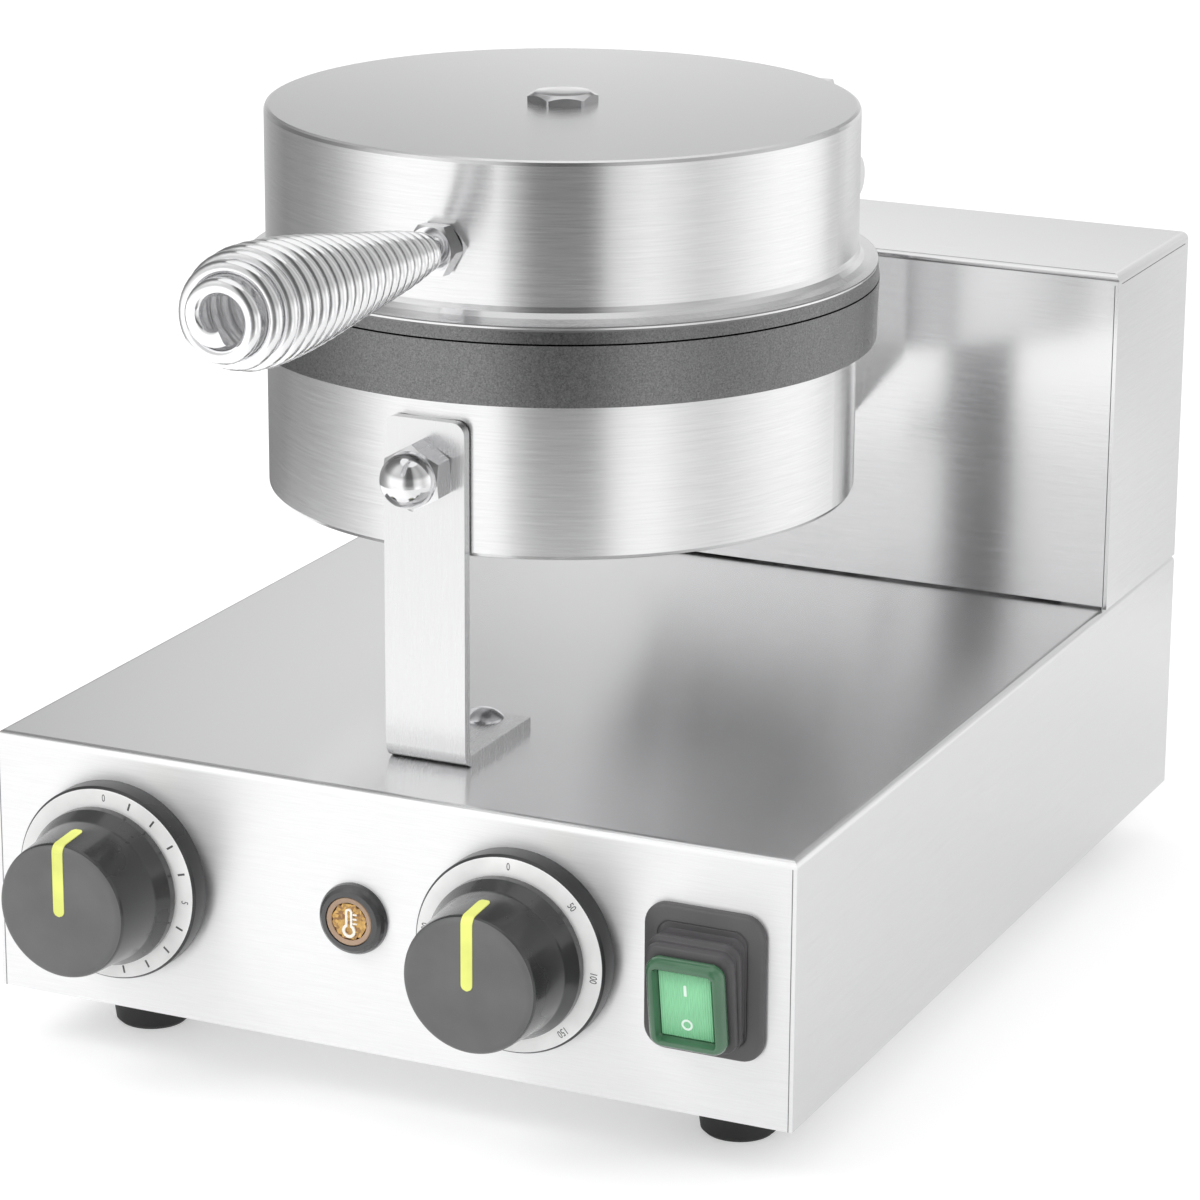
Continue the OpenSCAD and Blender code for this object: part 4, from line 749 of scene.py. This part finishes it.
for k in range(columns):
    x = face_w * (k / (columns - 1) - 0.5)
    rise = rib_depth * math.cos(2 * math.pi * k / rib_steps)
    rounding = 0.25 if k in (0, columns - 1) else 0.0
    for y, drop in ((-face_h / 2, face_edge), (-face_h / 2 + face_edge, 0.0),
                    (face_h / 2 - face_edge, 0.0), (face_h / 2, face_edge)):
        points.append((x, y, face_z + rise - drop - rounding))
faces = []
for k in range(columns - 1):
    faces += [(4 * k + m, 4 * k + 4 + m, 4 * k + 5 + m, 4 * k + 1 + m) for m in range(3)]
points, faces = slab(points, faces, low=15.2)
piece = new_piece("switch_rocker_face", [at_switch(*p, rest_tip) for p in points], faces, green_rocker,
                  "rocker", 60)
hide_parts("switch_rocker")


def flat_ring(outer, inner, steps=32):
    """Sheet between two closed outlines given as functions of the turn, 0 to 1."""
    points = []
    for k in range(steps):
        points += [outer(k / steps), inner(k / steps)]
    faces = []
    for k in range(steps):
        j = (k + 1) % steps
        faces.append((2 * k, 2 * j, 2 * j + 1, 2 * k + 1))
    return points, faces


def circle(r, x, y):
    return lambda t: (x + r * math.cos(2 * math.pi * t), y + r * math.sin(2 * math.pi * t))


bar = [(x, y + 4.6) for x, y in soft_ring(0.8, 3.2, 0.2, 3)]
sheet, faces = flat_ring(circle(1.6, 0, -5.5), circle(1.02, 0, -5.5))
faces.append(tuple(len(sheet) + k for k in range(len(bar))))
sheet += bar
points, faces = slab([(x, y, 17.06) for x, y in sheet], faces, low=16.8)
new_piece("switch_marks", [at_switch(*p, rest_tip) for p in points], faces, mark_white,
          "rocker", 40)


# Painted shade: dark strips standing for the shade in the fold lines of the sheet metal, and in the groove
# and the gap at the lid's skirt
def strip(name, x_span, y_span, z_span):
    corners = [Vector((x, y, z)) for x in sorted(x_span) for y in y_span for z in z_span]
    faces = [(0, 1, 3, 2), (4, 6, 7, 5), (0, 4, 5, 1), (2, 3, 7, 6), (0, 2, 6, 4), (1, 5, 7, 3)]
    new_piece(name, corners, faces, painted_seam_shade, "base")


seam = 0.25 * MM
proud = 0.04 * MM
seam_in = 1.1 * MM
seam_deep = 0.5 * MM
top_seam_deep = 0.6 * MM
top_seam_end = 3 * MM
base_low, base_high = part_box("base_housing")
tower_low, tower_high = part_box("tower_housing")
base_fold = base_high.z - 2.2 * MM
tower_fold = tower_high.z - 3.2 * MM
for side, word in ((-1, "left"), (1, "right")):
    wall = base_high.x * side
    front_line = (wall - seam_in * side, wall - (seam_in + seam) * side)
    strip("base_seam_" + word, front_line, (base_low.y - proud, base_low.y + seam_deep),
          (base_low.z, base_fold))
    strip("tower_top_seam_" + word, (wall - top_seam_deep * side, wall + proud * side),
          (tower_low.y + top_seam_end, tower_high.y - top_seam_end), (tower_fold, tower_fold + seam))
    strip("tower_front_seam_" + word, front_line, (tower_low.y - proud, tower_low.y + seam_deep),
          (base_top + 0.5 * MM, tower_fold))
skirt_r = (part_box("upper_shell")[1].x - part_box("upper_shell")[0].x) / 2 / MM
for name, low, high in (("skirt_groove", 0.95, 1.3), ("skirt_gap", -0.05, 0.42)):
    groove = [(skirt_r - 0.5, low), (skirt_r + 0.05, low), (skirt_r + 0.05, high), (skirt_r - 0.5, high)]
    verts, faces = lathe(groove, 160, upward(drum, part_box("upper_shell")[0].z), True)
    new_piece(name, verts, faces, painted_seam_shade, "lid")


# Lid bolt: a chamfered hex head, two of its faces to the sides, on its shank
def lid_bolt_mesh(half, rim, shank, steps=180):
    """Head half as wide as half over its flats, its round top of radius rim."""
    corner_reach = 1.135
    rim_drop = 0.34
    under = 0.02
    low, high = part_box("lid_bolt")
    crown = (high.z - low.z) / MM
    seat = (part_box("upper_shell")[1].z - low.z) / MM
    place = upward((low + high) / 2, low.z)
    verts = []
    faces = []
    for i in range(steps):
        a = 2 * math.pi * i / steps
        from_face = (math.degrees(a) + 30) % 60 - 30
        r = min(half * corner_reach, half / math.cos(math.radians(from_face)))
        chamfer = (r - rim) * math.tan(math.radians(30))
        for radius, h in ((0, crown), (0.5 * rim, crown - 0.05), (0.94 * rim, crown - 0.18),
                          (0.975 * rim, crown - 0.24), (rim, crown - rim_drop),
                          (r, crown - rim_drop - chamfer), (r, seat - under), (shank, seat - under),
                          (shank, 0), (0, 0)):
            verts.append(place(radius * math.cos(a), radius * math.sin(a), h))
    n = len(verts) // steps
    for i in range(steps):
        j = (i + 1) % steps
        faces += [(i * n + k, j * n + k, j * n + k + 1, i * n + k + 1) for k in range(n - 1)]
    return verts, faces


verts, faces = lid_bolt_mesh(8.7, 8.0, 4.0)
piece = new_piece("lid_bolt_chamfered", verts, faces, shaded_bolt_steel, "lid", 28)
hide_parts("lid_bolt")

# Bracket foot: domes of its two screws
foot_low, foot_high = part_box("front_bracket")
foot_thick = 3
dome_r = 5.8
dome_h = 2.4
dome_rim = 0.35
ball = (dome_r ** 2 + dome_h ** 2) / (2 * dome_h)
profile = []
for k in range(9):
    r = dome_r * math.sin(math.pi / 2 * k / 8)
    profile.append((r, dome_h - ball + math.sqrt(ball ** 2 - r ** 2) + dome_rim))
profile += [(dome_r, 0), (0, 0)]
for word, from_rear in (("rear", 5.6), ("front", 27.6)):
    centre = Vector((middle("front_bracket").x, foot_high.y - from_rear * MM, 0))
    verts, faces = lathe(profile, 64, upward(centre, foot_low.z + foot_thick * MM))
    new_piece("foot_screw_dome_" + word, verts, faces, zinc, "base", 45)

# Lamp: domed rim, cut lens and a thermometer sign
place = outward(lamp)
outline = rounded([(5.3, 2.0), (5.3, 3.1, 0.2), (6.9, 3.5, 0.6), (6.95, 2.0)], 6)
verts, faces = lathe(outline, 96, place, True)
piece = new_piece("lamp_lens_rim", verts, faces, lens_rim, "base", 40)
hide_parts("lamp_lens")
cut = 0.95
cut_heights = (2.75, 3.1, 2.9)
lens_r = 5.35
span = range(-7, 8)
spots = {}
points = []
for i in span:
    for j in span:
        x = cut * (i + j / 2)
        y = cut * j * math.sqrt(3) / 2
        if math.hypot(x, y) < lens_r:
            spots[(i, j)] = len(points)
            points.append((x, y, cut_heights[(i - j) % 3]))
faces = []
for i in span:
    for j in span:
        for corners in (((i, j), (i + 1, j), (i, j + 1)), ((i + 1, j), (i + 1, j + 1), (i, j + 1))):
            if all(corner in spots for corner in corners):
                faces.append(tuple(spots[corner] for corner in corners))
points, faces = slab(points, faces, low=1.6)
new_piece("lamp_lens_cut", [place(*p) for p in points], faces, amber, "base", 5)
bulb_y = -2.6
stem_top = 3.7


def thermometer(bulb, stem):
    """Outline round a bulb and a stem of the given radii."""
    neck = math.asin(stem / bulb)
    outline = []
    for k in range(20):
        a = math.pi / 2 + neck + (2 * math.pi - 2 * neck) * k / 19
        outline.append((bulb * math.cos(a), bulb_y + bulb * math.sin(a)))
    for k in range(12):
        a = math.pi * k / 11
        outline.append((stem * math.cos(a), stem_top - 1.0 + stem * math.sin(a)))
    return lambda t: outline[round(t * len(outline))]


sheet, faces = flat_ring(thermometer(2.0, 1.05), thermometer(1.2, 0.42))
for level in (2.2, 0.9, -0.4):
    first = len(sheet)
    sheet += [(1.2, level - 0.2), (2.4, level - 0.2), (2.4, level + 0.2), (1.2, level + 0.2)]
    faces.append(tuple(first + k for k in range(4)))
points, faces = slab([(x, y, 3.3) for x, y in sheet], faces, low=2.7)
new_piece("lamp_sign", [place(*p) for p in points], faces, sign_white, "base", 40)

bpy.context.scene.view_settings.view_transform = "Standard"

# Camera, fitted to the photograph: its angles, its place in metres and its focal length in image pixels
yaw = math.radians(24.845)
down = math.radians(17.142)
roll = math.radians(0.331)
eye_place = (0.5365, panel_y - 1.0204, 0.5014)
focal = 4596
image_width = 1200
back = Vector((math.sin(yaw) * math.cos(down), -math.cos(yaw) * math.cos(down), math.sin(down)))
level = Vector((math.cos(yaw), math.sin(yaw), 0))
above = back.cross(level)
right = math.cos(roll) * level + math.sin(roll) * above
top = -math.sin(roll) * level + math.cos(roll) * above
camera = bpy.data.cameras.new("camera")
camera.sensor_width = 36
camera.lens = camera.sensor_width * focal / image_width
camera.clip_start = 0.01
camera.clip_end = 50
eye = bpy.data.objects.new("camera", camera)
eye.matrix_world = Matrix([(right[i], top[i], back[i], eye_place[i]) for i in range(3)] + [(0, 0, 0, 1)])
bpy.context.scene.collection.objects.link(eye)
bpy.context.scene.camera = eye


def stage_piece(name, verts, faces, mat):
    """Piece of the surroundings, not of the machine."""
    mesh = bpy.data.meshes.new(name)
    mesh.from_pydata(verts, [], faces)
    mesh.materials.append(mat)
    piece = bpy.data.objects.new(name, mesh)
    bpy.context.scene.collection.objects.link(piece)
    return piece


# Floor: pale, keeps the soft shadow, and shows white to the camera and in reflections, where its glow
# fades to the right of the machine
floor_half = 6
glow_share = 0.25
glow_strength = 1.6
mat, tree, shader = material("pale_floor", (0.94, 0.94, 0.94), 0.9)
shader.inputs["Specular IOR Level"].default_value = 0.0
rays = add(tree, "ShaderNodeLightPath")
to_camera = rays.outputs["Is Camera Ray"]
mirrored = math_node(tree, "MAXIMUM", rays.outputs["Is Glossy Ray"], rays.outputs["Is Transmission Ray"])
seen = math_node(tree, "MAXIMUM", to_camera, mirrored)
glow = add(tree, "ShaderNodeEmission")
glow.inputs["Color"].default_value = (1, 1, 1, 1)
dimmed = map_range(tree, split(tree, object_place(tree))[0], 0.02, 0.15, 1.0, 0.35)
tree.links.new(math_node(tree, "MULTIPLY", glow_strength, math_node(tree, "MAXIMUM", to_camera, dimmed)),
               glow.inputs["Strength"])
blend = add(tree, "ShaderNodeMixShader")
tree.links.new(math_node(tree, "MULTIPLY", seen, glow_share), blend.inputs[0])
tree.links.new(shader.outputs[0], blend.inputs[1])
tree.links.new(glow.outputs[0], blend.inputs[2])
tree.links.new(blend.outputs[0], tree.nodes["Material Output"].inputs["Surface"])
corners = [(x * floor_half, y * floor_half, floor_z) for x, y in ((-1, -1), (1, -1), (1, 1), (-1, 1))]
stage_piece("floor", corners, [(0, 1, 2, 3)], mat)

# Backdrop: a round screen with dark and pale stretches, which only shows in reflections.
# Its stops are bearings in degrees from the camera's side, or heights in metres, each with a brightness.
# low_stops hold at its foot and high_stops above, dimmed by height, and behind the machine by rear_stops.
screen_r = 0.47
screen_low = 0.001
screen_top = 1.1
screen_steps = 120
strongest = 1.3
high_stops = [(-180, 1.18), (-160, 0.92), (-140, 0.51), (-123, 0.29), (-102, 0.34), (-87, 0.51),
              (-80, 0.69), (-68, 1.08), (-62, 1.22), (-28, 1.22), (-23, 1.18), (-19, 0.75), (-14, 0.42),
              (-10, 0.23), (-6, 0.20), (9, 0.20), (13, 0.40), (16, 0.70), (21, 0.84), (30, 0.98),
              (36, 0.92), (49, 0.74), (59, 0.86), (71, 1.07), (83, 1.2), (98, 1.2), (107, 1.07),
              (117, 0.71), (125, 0.72), (132, 1.00), (155, 1.02), (180, 1.18)]
low_stops = [(-180, 0.55), (-150, 0.45), (-129, 0.32), (-110, 0.37), (-96, 0.45), (-85, 0.57),
             (-75, 0.76), (-68, 0.95), (-60, 1.12), (-26, 1.2), (-21, 1.15), (-17, 0.84), (-12, 0.61),
             (-8, 0.50), (-3, 0.45), (5, 0.45), (10, 0.53), (14, 0.64), (19, 1.0), (24, 1.22), (33, 1.22),
             (43, 0.93), (53, 0.79), (58, 0.77), (70, 0.92), (82, 1.06), (97, 1.12), (116, 0.99),
             (150, 0.95), (180, 0.55)]
rear_stops = [(0.0, 0.50), (0.16, 0.64), (0.20, 0.80), (0.26, 0.74), (0.30, 0.96), (0.335, 1.0),
              (0.37, 0.58), (0.42, 0.22), (0.47, 0.30), (0.60, 0.75), (1.0, 0.85)]
mat, tree = material("screen", (0.8, 0.8, 0.8), 0.9)[:2]
way = split(tree, object_place(tree))
bearing = math_node(tree, "SUBTRACT",
                    math_node(tree, "ARCTAN2", way[0], math_node(tree, "MULTIPLY", way[1], -1.0)), yaw)
turns_round = math_node(tree, "DIVIDE", bearing, 2 * math.pi)
share = math_node(tree, "FRACT", math_node(tree, "ADD", turns_round, 1.5))


def grey_ramp(value, stops):
    """Grey by value, from (place, brightness) stops with places from 0 to 1."""
    ramp = add(tree, "ShaderNodeValToRGB")
    tree.links.new(value, ramp.inputs[0])
    elements = ramp.color_ramp.elements
    for i, (place, grey) in enumerate(stops):
        spot = elements[i] if i < 2 else elements.new(place)
        spot.position = place
        spot.color = (grey, grey, grey, 1)
    return ramp.outputs[0]


def ramp_round(stops):
    """Brightness by bearing, as a share of the strongest."""
    return grey_ramp(share, [((angle + 180) / 360, value / strongest) for angle, value in stops])


bands = add(tree, "ShaderNodeMix", data_type="RGBA")
tree.links.new(map_range(tree, way[2], 0.06, 0.12, 0.0, 1.0), bands.inputs[0])
tree.links.new(ramp_round(low_stops), bands.inputs[6])
tree.links.new(ramp_round(high_stops), bands.inputs[7])
from_front = math_node(tree, "ABSOLUTE", math_node(tree, "SUBTRACT", share, 0.5))
heights = add(tree, "ShaderNodeMix", data_type="FLOAT")
tree.links.new(map_range(tree, from_front, 0.33, 0.42, 0.0, 1.0), heights.inputs[0])
tree.links.new(map_range(tree, way[2], 0.24, 0.33, 1.0, 0.55), heights.inputs[2])
tree.links.new(grey_ramp(way[2], rear_stops), heights.inputs[3])
shine = add(tree, "ShaderNodeEmission")
tree.links.new(bands.outputs[2], shine.inputs["Color"])
tree.links.new(math_node(tree, "MULTIPLY", strongest, heights.outputs[0]), shine.inputs["Strength"])
tree.links.new(shine.outputs[0], tree.nodes["Material Output"].inputs["Surface"])
verts = []
faces = []
for i in range(screen_steps):
    a = 2 * math.pi * i / screen_steps
    verts += [(screen_r * math.cos(a), screen_r * math.sin(a), z) for z in (screen_low, screen_top)]
    j = (i + 1) % screen_steps
    faces.append((2 * i, 2 * j, 2 * j + 1, 2 * i + 1))
screen = stage_piece("screen", verts, faces, mat)
screen.visible_camera = False
screen.visible_diffuse = False
screen.visible_shadow = False
screen.visible_transmission = False

# World: white to the camera, an even soft dome for the rest
world = bpy.data.worlds.new("studio")
bpy.context.scene.world = world
world.use_nodes = True
tree = world.node_tree
tree.nodes.clear()
way = split(tree, add(tree, "ShaderNodeTexCoord").outputs["Generated"])
soft_dome = add(tree, "ShaderNodeBackground")
soft_dome.inputs["Color"].default_value = (1, 1, 1, 1)
tree.links.new(map_range(tree, way[2], 0.2, 0.9, 0.75, 1.0, "SMOOTHSTEP"), soft_dome.inputs["Strength"])
white = add(tree, "ShaderNodeBackground")
white.inputs["Color"].default_value = (1, 1, 1, 1)
white.inputs["Strength"].default_value = 1.0
pick = add(tree, "ShaderNodeMixShader")
rays = add(tree, "ShaderNodeLightPath")
tree.links.new(rays.outputs["Is Camera Ray"], pick.inputs[0])
tree.links.new(soft_dome.outputs[0], pick.inputs[1])
tree.links.new(white.outputs[0], pick.inputs[2])
out = add(tree, "ShaderNodeOutputWorld")
tree.links.new(pick.outputs[0], out.inputs["Surface"])


def lamp_panel(name, place, aim, size, power):
    """Square soft lamp at place that looks at aim; size in metres, power in watts."""
    light = bpy.data.lights.new(name, "AREA")
    light.size = size
    light.energy = power
    holder = bpy.data.objects.new(name, light)
    holder.location = place
    holder.rotation_euler = (Vector(aim) - Vector(place)).to_track_quat("-Z", "Y").to_euler()
    bpy.context.scene.collection.objects.link(holder)


machine_middle = (0, 0, 0.1)
lamp_panel("key_light", (-1.2, -1.4, 2.0), machine_middle, 1.2, 18)
lamp_panel("fill_light", (1.8, -0.8, 1.6), machine_middle, 1.4, 10)
